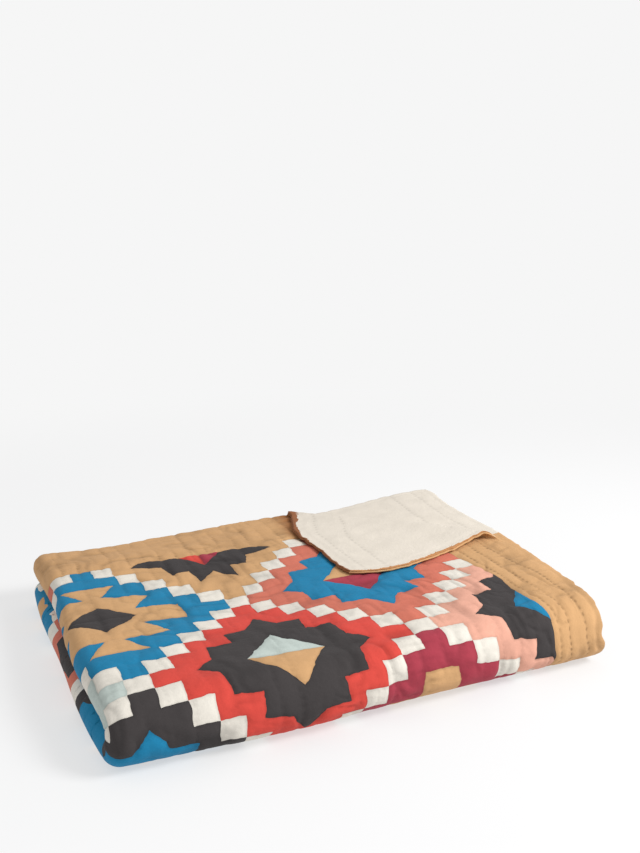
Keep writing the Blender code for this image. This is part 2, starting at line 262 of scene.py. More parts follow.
# How far points of the two outlines' sides wander, in patches: a medallion's and its eye's
TOOTH_DEPTH = 0.022
EYE_TOOTH_DEPTH = 0.018
TOOTH_STEP = 0.13
TOOTH_SEED = 21

# Quilting lines from back to front, in patches: the first one, their step and their stitches' step
QUILT_FIRST = 0.23
QUILT_STEP = 0.82
STITCH_STEP = 0.30
STITCH_SPREAD = 5.0
STITCH_SEED = 8

# How much a quilting line shows: its mean, its limits, its share in the border, and how much more
# it shows nearer to the back than a place, over a reach
QUILT_MEAN = 0.55
QUILT_LIMITS = (0.1, 1.15)
QUILT_IN_BORDER = 0.35
QUILT_MORE_AT_BACK = 0.9
QUILT_BACK_PLACE = 5.0
QUILT_BACK_REACH = 1.5

# The right border's dashed lines: their places behind the turned corner's fold and at the front,
# how much painted shade they carry, and how far from the border's seam they end
BORDER_LINES = ((3.5, 2.95), (2.7, 2.2), (1.9, 1.0))
BORDER_LINES_TURN = 6.0
DASH_SPREAD = 3.7
DASH_MEAN = 0.55
DASH_LIMITS = (0.12, 1.0)
BORDER_SEAM_CLEAR = 0.1

# Noise over the sheet, in rows: height, length across, length from back to front, seed
WARP_ACROSS = ((0.055, 2.9, 2.1, 1), (0.030, 0.9, 0.9, 2), (0.018, 0.17, 0.17, 10), (0.045, 0.42, 0.42, 13))
WARP_BACK = ((0.055, 2.1, 2.9, 3), (0.030, 0.9, 0.9, 4), (0.018, 0.17, 0.17, 11), (0.045, 0.42, 0.42, 14))
QUILT_WANDER = ((0.07, 2.7, 2.9, 5), (0.035, 0.8, 0.7, 6))
TOP_SWELL = ((0.0012, 4.1, 3.3, 33), (0.0007, 1.6, 1.3, 34), (0.00035, 0.6, 0.7, 35))
BACKING_SWELL = ((0.00025, 0.8, 0.7, 43), (0.0005, 2.3, 2.0, 44))
DASH_UNEVEN = ((0.7, 1.1, 0.8, 83),)

# Noise along lines, in rows: height, length, how far apart the noise of two lines is, seed
QUILT_UNEVEN = ((0.6, 1.7, 3.1, 61), (0.35, 0.6, 1.7, 62))
QUILT_STITCH_WANDER = ((0.3, 0.7, 1.0, 9),)
BORDER_WANDER = ((0.05, 1.9, 5.0, 81), (0.03, 0.6, 7.0, 82))
BORDER_DASH_WANDER = ((0.5, 0.9, 9.0, 84),)
BACKING_WANDER = ((0.06, 2.2, 3.0, 41), (0.02, 0.6, 5.0, 42))

# Stitched grooves: depth between stitches, more depth at them and half width, then the depth and
# half width of the hollow round them; depths in metres, widths in patches
GROOVES = {
    "quilting": (0.00028, 0.00030, 0.09, 0.00032, 0.24),
    "border": (0.00030, 0.00040, 0.07, 0.00030, 0.22),
    "backing": (0.00010, 0.00020, 0.06, 0.00020, 0.22),
}

# Their stitches: how far each one goes beyond half of its step, and how soft its ends are
STITCHES = {
    "quilting": (0.15, 0.5),
    "border": (0.1, 0.4),
    "backing": (0.2, 0.5),
}

# Painted shade along the stitched grooves: strength and half width at the stitches, then between them
GROOVE_SHADES = {
    "quilting": (0.3, 0.06, 0.09, 0.09),
    "border": (1.1, 0.05, 0.3, 0.08),
    "backing": (0.55, 0.05, 0.12, 0.1),
}

# Seams: depth and half width of the seam and of the hollow round it, then of the seams between
# patches of one colour
SEAM_TROUGHS = ((0.0008, 0.08), (0.0004, 0.25))
WEAK_SEAM = (0.00022, 0.07)
WEAK_SEAM_CLEAR = 0.2
# Painted shade along the seams: strength and half width
SEAM_SHADE = (0.35, 0.05)

# Wrinkles: length across, length from back to front, seed, and width; then how they bend and
# where they gather, in rows like the noise over the sheet
WRINKLES = {
    "long": (0.9, 2.1, 64, 0.17),
    "short": (1.1, 0.6, 66, 0.20),
    "small": (0.55, 0.75, 67, 0.26),
}
LONG_BEND = ((0.27, 1.0, 1.2, 63),)
SHORT_BEND = ((0.24, 0.7, 1.0, 65),)
WRINKLE_MASK = ((0.9, 1.9, 1.6, 68),)
WRINKLE_MASK_MEAN = 0.5
SHORT_MASK = ((0.9, 1.5, 1.9, 69),)
SHORT_MASK_MEAN = 0.4
SMALL_LEAST = 0.4

# The long, the short and the small wrinkles: depths of the two sides, and the strength of the shade painted
# in them
WRINKLE_DEPTHS = (0.00120, 0.00110, 0.00070)
WRINKLE_SHADE = (0.40, 0.36, 0.12)
BACKING_WRINKLE_DEPTHS = (0.00012, 0.00016, 0.00010)

# The mean height of the two sides, and how deep each may sink
TOP_MEAN = 0.0013
DEEPEST = -0.0019
BACKING_MEAN = 0.0003
BACKING_DEEPEST = 0.0006

# The relief grows towards the front round, from a place and over a reach; it fades at the hems,
# where it stands up near the floor and at the left crease, and less where it is sunk in
FRONT_PLACE = 15.0
FRONT_REACH = 4.0
MORE_GROOVE = 0.9
MORE_WRINKLE = 0.5
RIGHT_HEM_RELIEF = 0.2
BACK_HEM_RELIEF = 0.6
HEM_RELIEF_REACH = 0.5
EDGE_CLEAR = 0.6
FLOOR_EASE = 1.5
CREASE_EASE = 0.7
SUNK_SHARE = 0.25

# How both sides draw in beside a hem: place, depth in metres and half width
HEM_TROUGHS = ((0.35, 0.0005, 0.12), (0.0, 0.0004, 0.08))

# The shade beside the flap's back hem: its reach and strength at the tip and at the fold, the part
# of red, green and blue that it takes, and the stretch of the top where it can lie
SHADE_REACH_AT_TIP = 0.114 * PATCH
SHADE_REACH_AT_FOLD = 0.95 * PATCH
SHADE_AT_TIP = 0.35
SHADE_TAKES = (0.50, 0.68, 0.80)
SHADE_PART = (13.0, 9.0)

# The patterned fabric's turn over the flap's hems and over the hem beside the fold, in patches
HEM_TURN = 0.13
HEM_TURN_AT_FOLD = 3.2
HEM_TURN_AT_TIP = 0.4
HEM_TURN_FROM = 5.0
RIGHT_HEM_TURN = 0.7
HEM_TURN_UNEVEN = ((0.8, 0.7, 0.0, 71),)
ROLLED_HEM = 1.7
ROLLED_FROM = 7.4
ROLLED_TO = 12.0
RIM_DYE = (188, 134, 88)
# The rim beside the flap's back hem: the ochre darkened by painted shade
SHADED_BACK_RIM = (150, 96, 62)

# Dashed lines of the plain side: beside the flap's back hem, and the right hem under it
BACKING_LINES_ON_FLAP = (0.9, 2.05)
BACKING_LINES_BESIDE = (1.2, 2.6)

# The camera, from the photograph's perspective, in metres and radians
CAMERA_PLACE = (-0.4837, -1.1058, 0.5789)
CAMERA_AZIMUTH = math.radians(-24.3116)
CAMERA_ELEVATION = math.radians(13.8378)
FOCAL_PIXELS = 967.18
IMAGE_WIDE = 640
SENSOR = 36.0

# The studio: the seen background as an sRGB value, the floor, the even light and the soft box
BACKGROUND_RGB = (246, 246, 246)
FLOOR_COLOUR = (0.87, 0.87, 0.875)
FLOOR_HALF = 8.0
FLOOR_DROP = 0.0006
FLOOR_GLOW = 0.62
FLOOR_FADE = (0.5, 1.6)
DOME_STRENGTH = 0.66
KEY_AZIMUTH = 50.0
KEY_ELEVATION = 40.0
KEY_DISTANCE = 3.0
KEY_SIZE = 1.0
KEY_POWER = 76.0

# The fabrics' threads and crumples on the flat sheet: scales for a metre, heights in metres
WEFT_SCALE = (260.0, 2300.0, 1.0)
WARP_SCALE = (2300.0, 260.0, 1.0)
WASH_SCALE = 38.0
WASH_TONE = 0.05
CRUMPLE_SCALE = 210.0
CRUMPLE_HEIGHT = 0.0010
THREAD_HEIGHT = 0.0002


def smooth_step(value):
    value = np.clip(value, 0.0, 1.0)
    return value * value * (3.0 - 2.0 * value)


def bell(distance, width):
    return np.exp(-((distance / width) ** 2))


def hashed(x, y, seed):
    """A repeatable number from 0 to 1 for each pair of whole numbers."""
    mixed = np.sin(x * 127.1 + y * 311.7 + seed * 74.7) * 43758.5453
    return mixed - np.floor(mixed)


def noise(x, y, seed):
    """Smooth noise from -1 to 1 on a plane whose grid has a step of 1."""
    column, row = np.floor(x), np.floor(y)
    a, b = smooth_step(x - column), smooth_step(y - row)
    low = hashed(column, row, seed) * (1.0 - a) + hashed(column + 1.0, row, seed) * a
    high = hashed(column, row + 1.0, seed) * (1.0 - a) + hashed(column + 1.0, row + 1.0, seed) * a
    return 2.0 * (low * (1.0 - b) + high * b) - 1.0


def layered(u, v, rows):
    """Noise over the sheet from rows of height, two lengths and seed."""
    return sum(height * noise(u / across, v / along, seed) for height, across, along, seed in rows)


def wander(along, line, rows):
    """Noise along a line, other for each line, from rows of height, length, spread and seed."""
    return sum(
        height * noise(along / length, spread * line + 0.0 * along, seed)
        for height, length, spread, seed in rows)


def stitched(kind, along):
    """Where the stitches lie along a line, from 0 to 1, at places counted in stitches."""
    longer, soft = STITCHES[kind]
    return smooth_step((np.cos(2.0 * math.pi * along) + longer) / soft)


def groove(kind, off_line, stitch):
    """How deep a stitched line is at a distance from it."""
    depth, at_stitch, width, hollow, hollow_width = GROOVES[kind]
    return (depth + at_stitch * stitch) * bell(off_line, width) + hollow * bell(off_line, hollow_width)


# Painted shade along a stitched groove, stronger at its stitches
def groove_shade(kind, off_line, stitch):
    at_stitch, width, between, between_width = GROOVE_SHADES[kind]
    return at_stitch * stitch * bell(off_line, width) + between * bell(off_line, between_width)


def weighted(weights, parts):
    return sum(weight * part for weight, part in zip(weights, parts))


class Fold:
    """A half turn of a stack of layers, which starts at a length along the stack."""

    def __init__(self, start, half_stack, flatness=1.0):
        self.start = start
        self.half_stack = half_stack
        self.flatness = flatness
        outer = 2.0 * half_stack - PITCH / 2.0
        self.length = math.pi * outer * (1.0 + flatness) / 2.0
        self.end = start + self.length

    def place(self, along, offset):
        """The place along the stack and over its middle of a point on an unfolded stack."""
        turn = np.clip((along - self.start) / self.length, 0.0, 1.0) * math.pi
        radius = self.half_stack + offset
        straight = np.minimum(along, self.start) - np.maximum(along - self.end, 0.0)
        return straight + self.flatness * radius * np.sin(turn), radius * np.cos(turn)

    def stations(self, steps):
        return [self.start + self.length * k / steps for k in range(steps + 1)]


wide = FLAT_WIDE * PATCH
deep = FLAT_DEEP * PATCH
LEFT = Fold(wide, 2.0 * PITCH)
FRONT = Fold(deep, 4.0 * PITCH, FRONT_FLATNESS)
RIGHT = Fold(LEFT.end + wide - 1.5 * PITCH - FOLD_INSET, PITCH)
BACK = Fold(FRONT.end + deep - 0.5 * PITCH - FOLD_INSET, PITCH / 2.0)
SHEET_WIDE = RIGHT.start + RIGHT.end
SHEET_DEEP = BACK.start + BACK.end
U_END = round(SHEET_WIDE / PATCH, 4)
V_END = round(SHEET_DEEP / PATCH, 4)


class Turn:
    """The corner of the top layer, rolled over a slanting line and laid back down."""

    def __init__(self):
        self.on_back = np.array([TURN_ON_BACK_HEM * PATCH, 0.0])
        self.on_right = np.array([0.0, TURN_ON_RIGHT_HEM * PATCH])
        along = self.on_right - self.on_back
        self.span = float(np.linalg.norm(along))
        self.along = along / self.span
        self.across = np.array([-self.along[1], self.along[0]])
        self.reach = float(-self.across @ self.on_back)
        self.extra = math.radians(TURN_EXTRA_DEGREES)

    def local(self, s, t):
        """The share of the fold line beside a point of the cloth, and how far past it the point is."""
        ds, dt = s - self.on_back[0], t - self.on_back[1]
        share = (ds * self.along[0] + dt * self.along[1]) / self.span
        return share, ds * self.across[0] + dt * self.across[1]

    def radius(self, share):
        return TURN_RADIUS_BACK + (TURN_RADIUS_RIGHT - TURN_RADIUS_BACK) * share

    def lengths(self, radius):
        """The cloth's lengths round the roll, straight down from it, and in easing level."""
        drop = np.maximum(radius * (1.0 + math.cos(self.extra)) - TURN_REST, GAP)
        slope = drop / math.sin(self.extra)
        return radius * (math.pi + self.extra), slope / 2.0, slope

    def profile(self, over, radius):
        """The rolled cloth's place and angle, by its length from where the roll starts."""
        extra = self.extra
        arc, straight, ease = self.lengths(radius)
        bend = np.clip(over, 0.0, arc) / radius
        down = np.clip(over - arc, 0.0, straight)
        eased = np.clip((over - arc - straight) / ease, 0.0, 1.0)
        level = np.maximum(over - arc - straight - ease, 0.0)
        tilt = extra * (1.0 - eased)
        forward = radius * np.sin(bend) - down * math.cos(extra) - level
        forward = forward - ease / extra * (math.sin(extra) - np.sin(tilt))
        height = radius * (1.0 - np.cos(bend)) - down * math.sin(extra)
        height = height - ease / extra * (np.cos(tilt) - math.cos(extra))
        return forward, height, bend - extra * eased

    def place(self, s, t, n):
        """The place on the two hems' axes and the height over the cloth's middle."""
        share, past = self.local(s, t)
        share = np.clip(share, 0.0, 1.0)
        radius = self.radius(share)
        over = past + math.pi / 2.0 * radius
        forward, height, angle = self.profile(over, radius)
        height = height + np.cos(angle) * n
        move = np.where(over > 0.0, forward - np.sin(angle) * n - over, 0.0)
        laid = np.clip(past / self.reach, 0.0, 1.0)
        left = TURN_LEAN_LEFT * smooth_step(laid / TURN_LEAN_SHARE)
        front = TURN_BOW_FRONT * np.sin(math.pi * laid**2) + TURN_TIP_FRONT * smooth_step(laid)
        pull = smooth_step((past + PULL_BEFORE) / PULL_LENGTH) * (1.0 - smooth_step(laid / PULL_SHARE))
        pull = pull * share**PULL_POWER
        new_s = s + self.across[0] * move + left + PULL_LEFT * pull
        new_t = t + self.across[1] * move + front - PULL_BACK * pull
        return new_s, new_t, np.where(over > 0.0, height, n)


TURN = Turn()


def fold_sheet(s, t, n):
    """The place in the bundle of points of the sheet, with the hems' corner as origin."""
    corner = (s < wide) & (t < deep)
    turned_s, turned_t, turned_n = TURN.place(s, t, n)
    flat_s = np.where(corner, turned_s, s)
    flat_t = np.where(corner, turned_t, t)
    offset = np.where(corner, turned_n, n)
    deep_1, offset_1 = BACK.place(flat_t, offset)
    wide_1, offset_2 = RIGHT.place(flat_s, offset_1)
    wide_2, offset_3 = LEFT.place(wide_1, offset_2)
    deep_2, height = FRONT.place(deep_1, offset_3)
    return wide_2, deep_2, height + BUNDLE_HIGH / 2.0 - (PITCH - CLOTH_THICK) / 2.0


def zone(name, across, back):
    """How far a place lies inside one of the bundle's zones, from 0 to 1."""
    inside = 1.0
    for place, ends in zip((across / wide, back / deep), ZONES[name]):
        if ends:
            inside = inside * smooth_step((place - ends[0]) / (ends[1] - ends[0]))
    return inside


def wave(name, along, share):
    height, length, phase, lag = WAVES[name]
    return height * np.sin(along / length + phase + lag * share)


def raised(across, back):
    """How much higher or lower the bundle is at a place, as a share of its height."""
    crown = np.sin(math.pi * np.clip(across / wide, 0.0, 1.0))
    up = RIGHT_RISE * zone("right", across, back) + CROWN * crown
    up = up + CORNER_RISE * zone("turned corner", across, back)
    sag = bell(across / wide - SAG_PLACE[0], SAG_REACH[0]) * bell(back / deep - SAG_PLACE[1], SAG_REACH[1])
    droop = bell(across / wide - DROOP_PLACE, DROOP_REACH) * zone("back hem", across, back)
    down = MIDDLE_SAG * sag + BACK_DROOP * droop
    down = down + FRONT_LEFT_DROOP * zone("front left corner", across, back)
    return up - down


def settle(across, back, height):
    """The same points on the uneven bundle: +X right and +Y back, hems' corner at 0, 0."""
    share = height / BUNDLE_HIGH
    right, left = zone("right", across, back), zone("left", across, back)
    front, rear = zone("front", across, back), zone("back", across, back)
    crown = np.sin(math.pi * np.clip(across / wide, 0.0, 1.0))
    side = zone("left side", across, back) * np.sin(math.pi * np.clip(back / deep, 0.0, 1.0))
    inward = FRONT_RIGHT_IN * zone("front right", across, back)
    inward = inward + FRONT_RIGHT_ROUND * zone("front right corner", across, back)
    low, high = LOWER_LEFT_ENDS
    outward = LOWER_LEFT_OUT * side * (1.0 - smooth_step((share - low) / (high - low)))
    new_across = across + inward + outward
    new_back = back - CORNER_BACK * zone("turned corner", across, back)
    new_back = new_back + BACK_LEFT_IN * zone("back left", across, back)
    x = -new_across - left * wave("left", new_back, share) + right * wave("right", new_back, share)
    y = -new_back - front * (wave("front", new_across, share) + FRONT_OUT * crown)
    y = y + rear * wave("back", new_across, share)
    return x, y, height * (1.0 + raised(across, back))


def quilt_place(u, v):
    """The number of the nearest quilting line, the distance to it, and whether a stitch lies there."""
    line = (u - QUILT_FIRST - layered(u, v, QUILT_WANDER)) / QUILT_STEP
    number = np.round(line)
    along = v / STITCH_STEP + STITCH_SPREAD * hashed(number, 0.0 * number, STITCH_SEED)
    along = along + wander(v, number, QUILT_STITCH_WANDER)
    return number, np.abs(line - number) * QUILT_STEP, stitched("quilting", along)


def quilt_strength(u, v, number):
    """How much a quilting line shows: unevenly in the field, more along the back."""
    uneven = np.clip(QUILT_MEAN + wander(v, number, QUILT_UNEVEN), *QUILT_LIMITS)
    near_back = 1.0 + QUILT_MORE_AT_BACK * smooth_step((QUILT_BACK_PLACE - v) / QUILT_BACK_REACH)
    return np.where(u < BORDER, QUILT_IN_BORDER * uneven, uneven * near_back)


def border_line(u, v, first, last):
    """How far places are from a dashed line along the right hem that bends from back to front."""
    bent = (last - first) * smooth_step((v - BORDER_BEND_FROM) / BORDER_LINES_TURN)
    return u - first - bent - wander(v, first, BORDER_WANDER)


def border_place(u, v):
    """The distance to the nearest dashed line of the right border, and whether a stitch lies there."""
    distance = np.full(len(u), 9.0)
    stitch = np.zeros(len(u))
    for first, last in BORDER_LINES:
        off = np.abs(border_line(u, v, first, last))
        along = v / STITCH_STEP + DASH_SPREAD * first + wander(v, first, BORDER_DASH_WANDER)
        stitch = np.where(off < distance, stitched("border", along), stitch)
        distance = np.minimum(distance, off)
    return distance, stitch


def wrinkles(u, v):
    """The long, short and small creases of the washed cloth between its stitches, each from 0 to 1."""
    places = {
        "long": (u + layered(u, v, LONG_BEND), v),
        "short": (u, v + layered(u, v, SHORT_BEND)),
        "small": (u, v),
    }
    found = {}
    for kind, (u_bent, v_bent) in places.items():
        across, along, seed, width = WRINKLES[kind]
        found[kind] = bell(noise(u_bent / across, v_bent / along, seed), width)
    mask = smooth_step(WRINKLE_MASK_MEAN + layered(u, v, WRINKLE_MASK))
    other = smooth_step(SHORT_MASK_MEAN + layered(u, v, SHORT_MASK))
    small = found["small"] * (SMALL_LEAST + (1.0 - SMALL_LEAST) * mask)
    return found["long"] * mask, found["short"] * other, small


def warp(u, v):
    """The sheet's own unevenness: seams and hems that wander a little, in patches."""
    du, dv = layered(u, v, WARP_ACROSS), layered(u, v, WARP_BACK)
    _, off_line, _ = quilt_place(u, v)
    pull = QUILT_PULL * bell(off_line, QUILT_PULL_WIDTH)
    reach = QUILT_PULL_REACH
    dv = dv + pull * (smooth_step(1.0 - v / reach) - smooth_step(1.0 - (V_END - v) / reach))
    ripple = RIPPLE * np.sin(v * 2.0 * math.pi / RIPPLE_STEP + layered(u, v, RIPPLE_LAG))
    reach = RIPPLE_REACH
    du = du + ripple * (smooth_step(1.0 - u / reach) - smooth_step(1.0 - (U_END - u) / reach))
    for u_hem, v_hem in ((0.0, 0.0), (0.0, V_END), (U_END, 0.0), (U_END, V_END)):
        pull = CORNER_PULL * bell(np.hypot(u - u_hem, v - v_hem), CORNER_PULL_REACH)
        du = du + pull * (1.0 if u_hem == 0.0 else -1.0)
        dv = dv + pull * (1.0 if v_hem == 0.0 else -1.0)
    return u + du, v + dv


def pattern_shift(u, v):
    """How far the patchwork lies from an even grid on the sheet, at places on that grid."""
    off_hem = smooth_step((u - SHIFT_FROM) / SHIFT_REACH) * smooth_step((v - SHIFT_FROM) / SHIFT_REACH)
    du, dv = PATTERN_SHIFT[0] * off_hem, PATTERN_SHIFT[1] * off_hem
    for u_bend, v_bend, reach, move in SEAM_BENDS:
        du = du + move * bell(np.hypot(u - u_bend, v - v_bend), reach)
    bend = BORDER_BEND * bell(u - BORDER, BORDER_BEND_REACH) * smooth_step(u / SHIFT_REACH)
    du = du + bend * smooth_step((v - BORDER_BEND_FROM) / BORDER_BEND_LENGTH)
    front_u, front_v = FRONT_SHIFT_PLACE
    dv = dv + FRONT_SHIFT * bell(np.hypot(u - front_u, v - front_v), FRONT_SHIFT_REACH)
    skew = SKEW * bell(u - SKEW_PLACE, SKEW_REACH) * smooth_step((v - SKEW_FROM) / SKEW_LENGTH)
    return du + skew, dv


def to_sheet(u, v):
    du, dv = pattern_shift(u, v)
    return u + du, v + dv


def to_pattern(u, v):
    """The place on the patchwork's even grid that lies at a place on the sheet."""
    even_u, even_v = u, v
    for _ in range(6):
        du, dv = pattern_shift(even_u, even_v)
        even_u, even_v = u - du, v - dv
    return even_u, even_v


def bundle_points(flat, n):
    """Places in the bundle of flat places in patches, at a height n over the cloth's middle."""
    u, v = warp(flat[:, 0], flat[:, 1])
    return np.stack(settle(*fold_sheet(u * PATCH, v * PATCH, n)), axis=1)


def toothed(places, step, depth):
    """A closed outline with points a step apart, moved sideways a little by noise."""
    points = []
    for (a, b), (c, d) in zip(places, places[1:] + places[:1]):
        length = math.hypot(c - a, d - b)
        count = max(1, round(length / step))
        share = np.arange(count) / count
        x, y = a + (c - a) * share, b + (d - b) * share
        move = depth * noise(x / TOOTH_STEP, y / TOOTH_STEP, TOOTH_SEED) * (share > 0.0)
        points += list(zip(x - move * (d - b) / length, y + move * (c - a) / length))
    return points


def mirrored(quarter):
    """A whole outline from the part of it in one quarter, which starts on the first axis or beside it."""
    right = list(quarter)
    left = [(-x, y) for x, y in reversed(right) if x > 1e-6]
    upper = right + left
    lower = [(x, -y) for x, y in reversed(upper) if y > 1e-6]
    return upper + lower


def diamond_centre(column, row):
    return FIRST_COLUMN - DIAMOND_STEP * column, DIAMOND_STEP * row - FIRST_ROW


def diamond_row(column, row):
    return DIAMOND_ROWS[(column % REPEAT_COLUMNS, row % REPEAT_ROWS)]


def medallion_outlines(column, row, step):
    """The outlines of a diamond's medallion and of its eye, in patches on the sheet."""
    shape = MEDALLIONS[diamond_row(column, row)[2]]
    u0, v0 = diamond_centre(column, row)
    across, along = shape["eye"]
    body = [(u0 + x, v0 + y) for x, y in mirrored(shape["quarter"])]
    eye = [(u0 + across, v0), (u0, v0 + along), (u0 - across, v0), (u0, v0 - along)]
    return toothed(body, step, TOOTH_DEPTH), toothed(eye, step, EYE_TOOTH_DEPTH)


def inside_outline(x, y, outline):
    """Which of the points lie inside a closed outline."""
    inside = np.zeros(len(x), bool)
    for (a, b), (c, d) in zip(outline, outline[1:] + outline[:1]):
        if b == d:
            continue
        crosses = (b > y) != (d > y)
        inside ^= crosses & (x < a + (c - a) * (y - b) / (d - b))
    return inside


def in_border(u, v):
    return (u < BORDER) | (v < BORDER) | (u > U_END - BORDER) | (v > V_END - BORDER)


def nearest_diamond(u, v):
    """The diamond of each point's patch, and that patch's distance from its middle in steps."""
    i = FIRST_COLUMN - 0.5 - np.floor(u)
    j = np.floor(v) + FIRST_ROW + 0.5
    first = 2 * np.floor((i + j) / (2 * DIAMOND_STEP)) + 1
    second = 2 * np.floor((i - j) / (2 * DIAMOND_STEP)) + 1
    far = np.maximum(np.abs(i + j - DIAMOND_STEP * first), np.abs(i - j - DIAMOND_STEP * second))
    return ((first + second) / 2).astype(int), ((first - second) / 2).astype(int), far


def dye_numbers(u, v, step):
    """The number in DYE_NAMES of the dye at each point of the patterned side."""
    dyes = np.full(len(u), DYE_NAMES.index("cream"))
    column, row, far = nearest_diamond(u, v)
    field = far < DIAMOND_STEP
    for c, r in sorted(set(zip(column[field].tolist(), row[field].tolist()))):
        here = np.nonzero(field & (column == c) & (row == r))[0]
        ground, medallion, _, parted, first, second = diamond_row(c, r)
        x, y = u[here], v[here]
        body, eye = medallion_outlines(c, r, step)
        u0, v0 = diamond_centre(c, r)
        ahead = (y > v0) if parted == "across" else (x < u0)
        found = np.full(len(here), DYE_NAMES.index(ground))
        found[inside_outline(x, y, body)] = DYE_NAMES.index(medallion)
        in_eye = inside_outline(x, y, eye)
        found[in_eye & ~ahead] = DYE_NAMES.index(first)
        found[in_eye & ahead] = DYE_NAMES.index(second)
        dyes[here] = found
    dyes[in_border(u, v)] = DYE_NAMES.index("ochre")
    return dyes


# The diamond whose ground runs into the border at the back without a seam, by column and row
JOINED_DIAMOND = (0, -1)


def patch_ground(u, v):
    """The ground of the patch at a point: the border, cream, or its diamond's column and row."""
    if in_border(u, v):
        return "border"
    column, row, far = nearest_diamond(np.array([u]), np.array([v]))
    if far[0] >= DIAMOND_STEP:
        return "cream"
    diamond = (int(column[0]), int(row[0]))
    return "border" if diamond == JOINED_DIAMOND else diamond


def subdivided(places, step):
    """The same line with points no more than a step apart."""
    points = [places[0]]
    for (a, b), (c, d) in zip(places, places[1:]):
        count = max(1, math.ceil(max(abs(c - a), abs(d - b)) / step - 1e-6))
        points += [(a + (c - a) * k / count, b + (d - b) * k / count) for k in range(1, count + 1)]
    return points


def seam_runs(first_u, last_u, first_v, last_v):
    """Each side of a patch, in a stretch of the sheet, where two different grounds meet."""
    runs = []
    for k in range(math.floor(first_u), math.ceil(last_u)):
        for m in range(math.floor(first_v), math.ceil(last_v)):
            here = patch_ground(k + 0.5, m + 0.5)
            if here != patch_ground(k + 1.5, m + 0.5):
                runs.append([(k + 1.0, float(m)), (k + 1.0, m + 1.0)])
            if here != patch_ground(k + 0.5, m + 1.5):
                runs.append([(float(k), m + 1.0), (k + 1.0, m + 1.0)])
    return [
        [(a, b), (c, d)] for (a, b), (c, d) in runs
        if a >= first_u and c <= last_u and b >= first_v and d <= last_v]


def clipped_runs(line, first_u, last_u, first_v, last_v):
    """The stretches of a line that lie in a box, cut where they cross its sides."""
    runs, run = [], []

    def inside(place):
        return first_u <= place[0] <= last_u and first_v <= place[1] <= last_v

    def cut(kept, lost):
        share = 1.0
        for axis, low, high in ((0, first_u, last_u), (1, first_v, last_v)):
            limit = min(max(lost[axis], low), high)
            if limit != lost[axis]:
                share = min(share, (limit - kept[axis]) / (lost[axis] - kept[axis]))
        return kept[0] + share * (lost[0] - kept[0]), kept[1] + share * (lost[1] - kept[1])

    for a, b in zip(line, line[1:]):
        if inside(a) and inside(b):
            run = (run or [a]) + [b]
        elif inside(a):
            runs.append((run or [a]) + [cut(a, b)])
            run = []
        elif inside(b):
            run = [cut(b, a), b]
    return runs + ([run] if run else [])


def outlines_in(first_u, last_u, first_v, last_v, step):
    """The medallions and eyes that reach into a stretch of the sheet, as lines inside the borders."""
    lines = []
    reach = MEDALLION_REACH
    for c in COLUMNS_ON_SHEET:
        for r in ROWS_ON_SHEET:
            u0, v0 = diamond_centre(c, r)
            near = first_u - reach < u0 < last_u + reach and first_v - reach < v0 < last_v + reach
            if (c + r) % 2 == 0 or not near:
                continue
            body, eye = medallion_outlines(c, r, step)
            parted = diamond_row(c, r)[3]
            half = len(eye) // 2
            ends = (eye[0], eye[half]) if parted == "across" else (eye[half // 2], eye[half + half // 2])
            lines += [body + body[:1], eye + eye[:1], subdivided(list(ends), step)]
    field = (
        max(first_u, BORDER), min(last_u, U_END - BORDER),
        max(first_v, BORDER), min(last_v, V_END - BORDER),
    )
    return [run for line in lines for run in clipped_runs(line, *field)]


def stretch_lines(first_u, last_u, first_v, last_v, step):
    """The patchwork's seams in a stretch of the sheet, where they lie on it."""
    wider = (first_u - 2.0, last_u + 2.0, first_v - 2.0, last_v + 2.0)
    lines = []
    for line in seam_runs(*wider) + outlines_in(*wider, step):
        laid = [tuple(float(x) for x in to_sheet(*place)) for place in subdivided(line, step)]
        lines += clipped_runs(laid, first_u, last_u, first_v, last_v)
    return lines


# Points of the sheet closer than this are one, and its hems' points are this near to the hems
SAME_POINT = 2e-5
ON_HEM = 1e-3


class Web:
    """Points and lines on the flat sheet, in patches, from which its triangles are made."""

    def __init__(self):
        self.points = []
        self.edges = []
        self.index = {}

    def point(self, u, v):
        key = (round(float(u), 4), round(float(v), 4))
        if key not in self.index:
            self.index[key] = len(self.points)
            self.points.append(Vector(key))
        return self.index[key]

    def line(self, places):
        numbers = [self.point(*place) for place in places]
        self.edges += [pair for pair in zip(numbers, numbers[1:]) if pair[0] != pair[1]]

    def triangles(self):
        points, _, faces, *_ = delaunay_2d_cdt(self.points, self.edges, [], 0, SAME_POINT)
        return np.array([tuple(p) for p in points]), np.array([tuple(f) for f in faces])


def mirrored_stations(length, first, second, first_steps, second_steps, flat):
    """Lines across the sheet that lie over each other in every layer of the bundle, in patches."""
    share = [k / COARSE_STEPS for k in range(1, COARSE_STEPS)]
    inner = first.end + first.start
    stations = [0.0, length] + [flat * k for k in share] + first.stations(first_steps)
    stations += [inner - flat * k for k in share if inner - flat * k < second.start - 0.01]
    stations += second.stations(second_steps)
    stations += [length - v for v in stations if v < second.start - 1e-6]
    return sorted(set(round(v / PATCH, 4) for v in stations))


U_LINES = mirrored_stations(SHEET_WIDE, LEFT, RIGHT, ROUND_STEPS, INNER_STEPS, wide)
V_LINES = mirrored_stations(SHEET_DEEP, FRONT, BACK, FRONT_STEPS, INNER_STEPS, deep)

# Stretches of the sheet, in patches: how far the shown top goes past its two rounds, where the
# underside ends, how far the mesh of an inner fold goes past it, and the turned corner's square
SHOWN_MARGIN = 0.2
TOP_U = round(LEFT.end / PATCH, 1) + SHOWN_MARGIN
TOP_V = round(FRONT.end / PATCH, 1) + SHOWN_MARGIN
UNDER_V = BACK.start / PATCH
FOLD_MARGIN = 0.8
TURN_CORNER = 12.0

# How far before its fold line the turned corner's mesh starts, in metres
TURN_BEFORE = 1.8 * PATCH

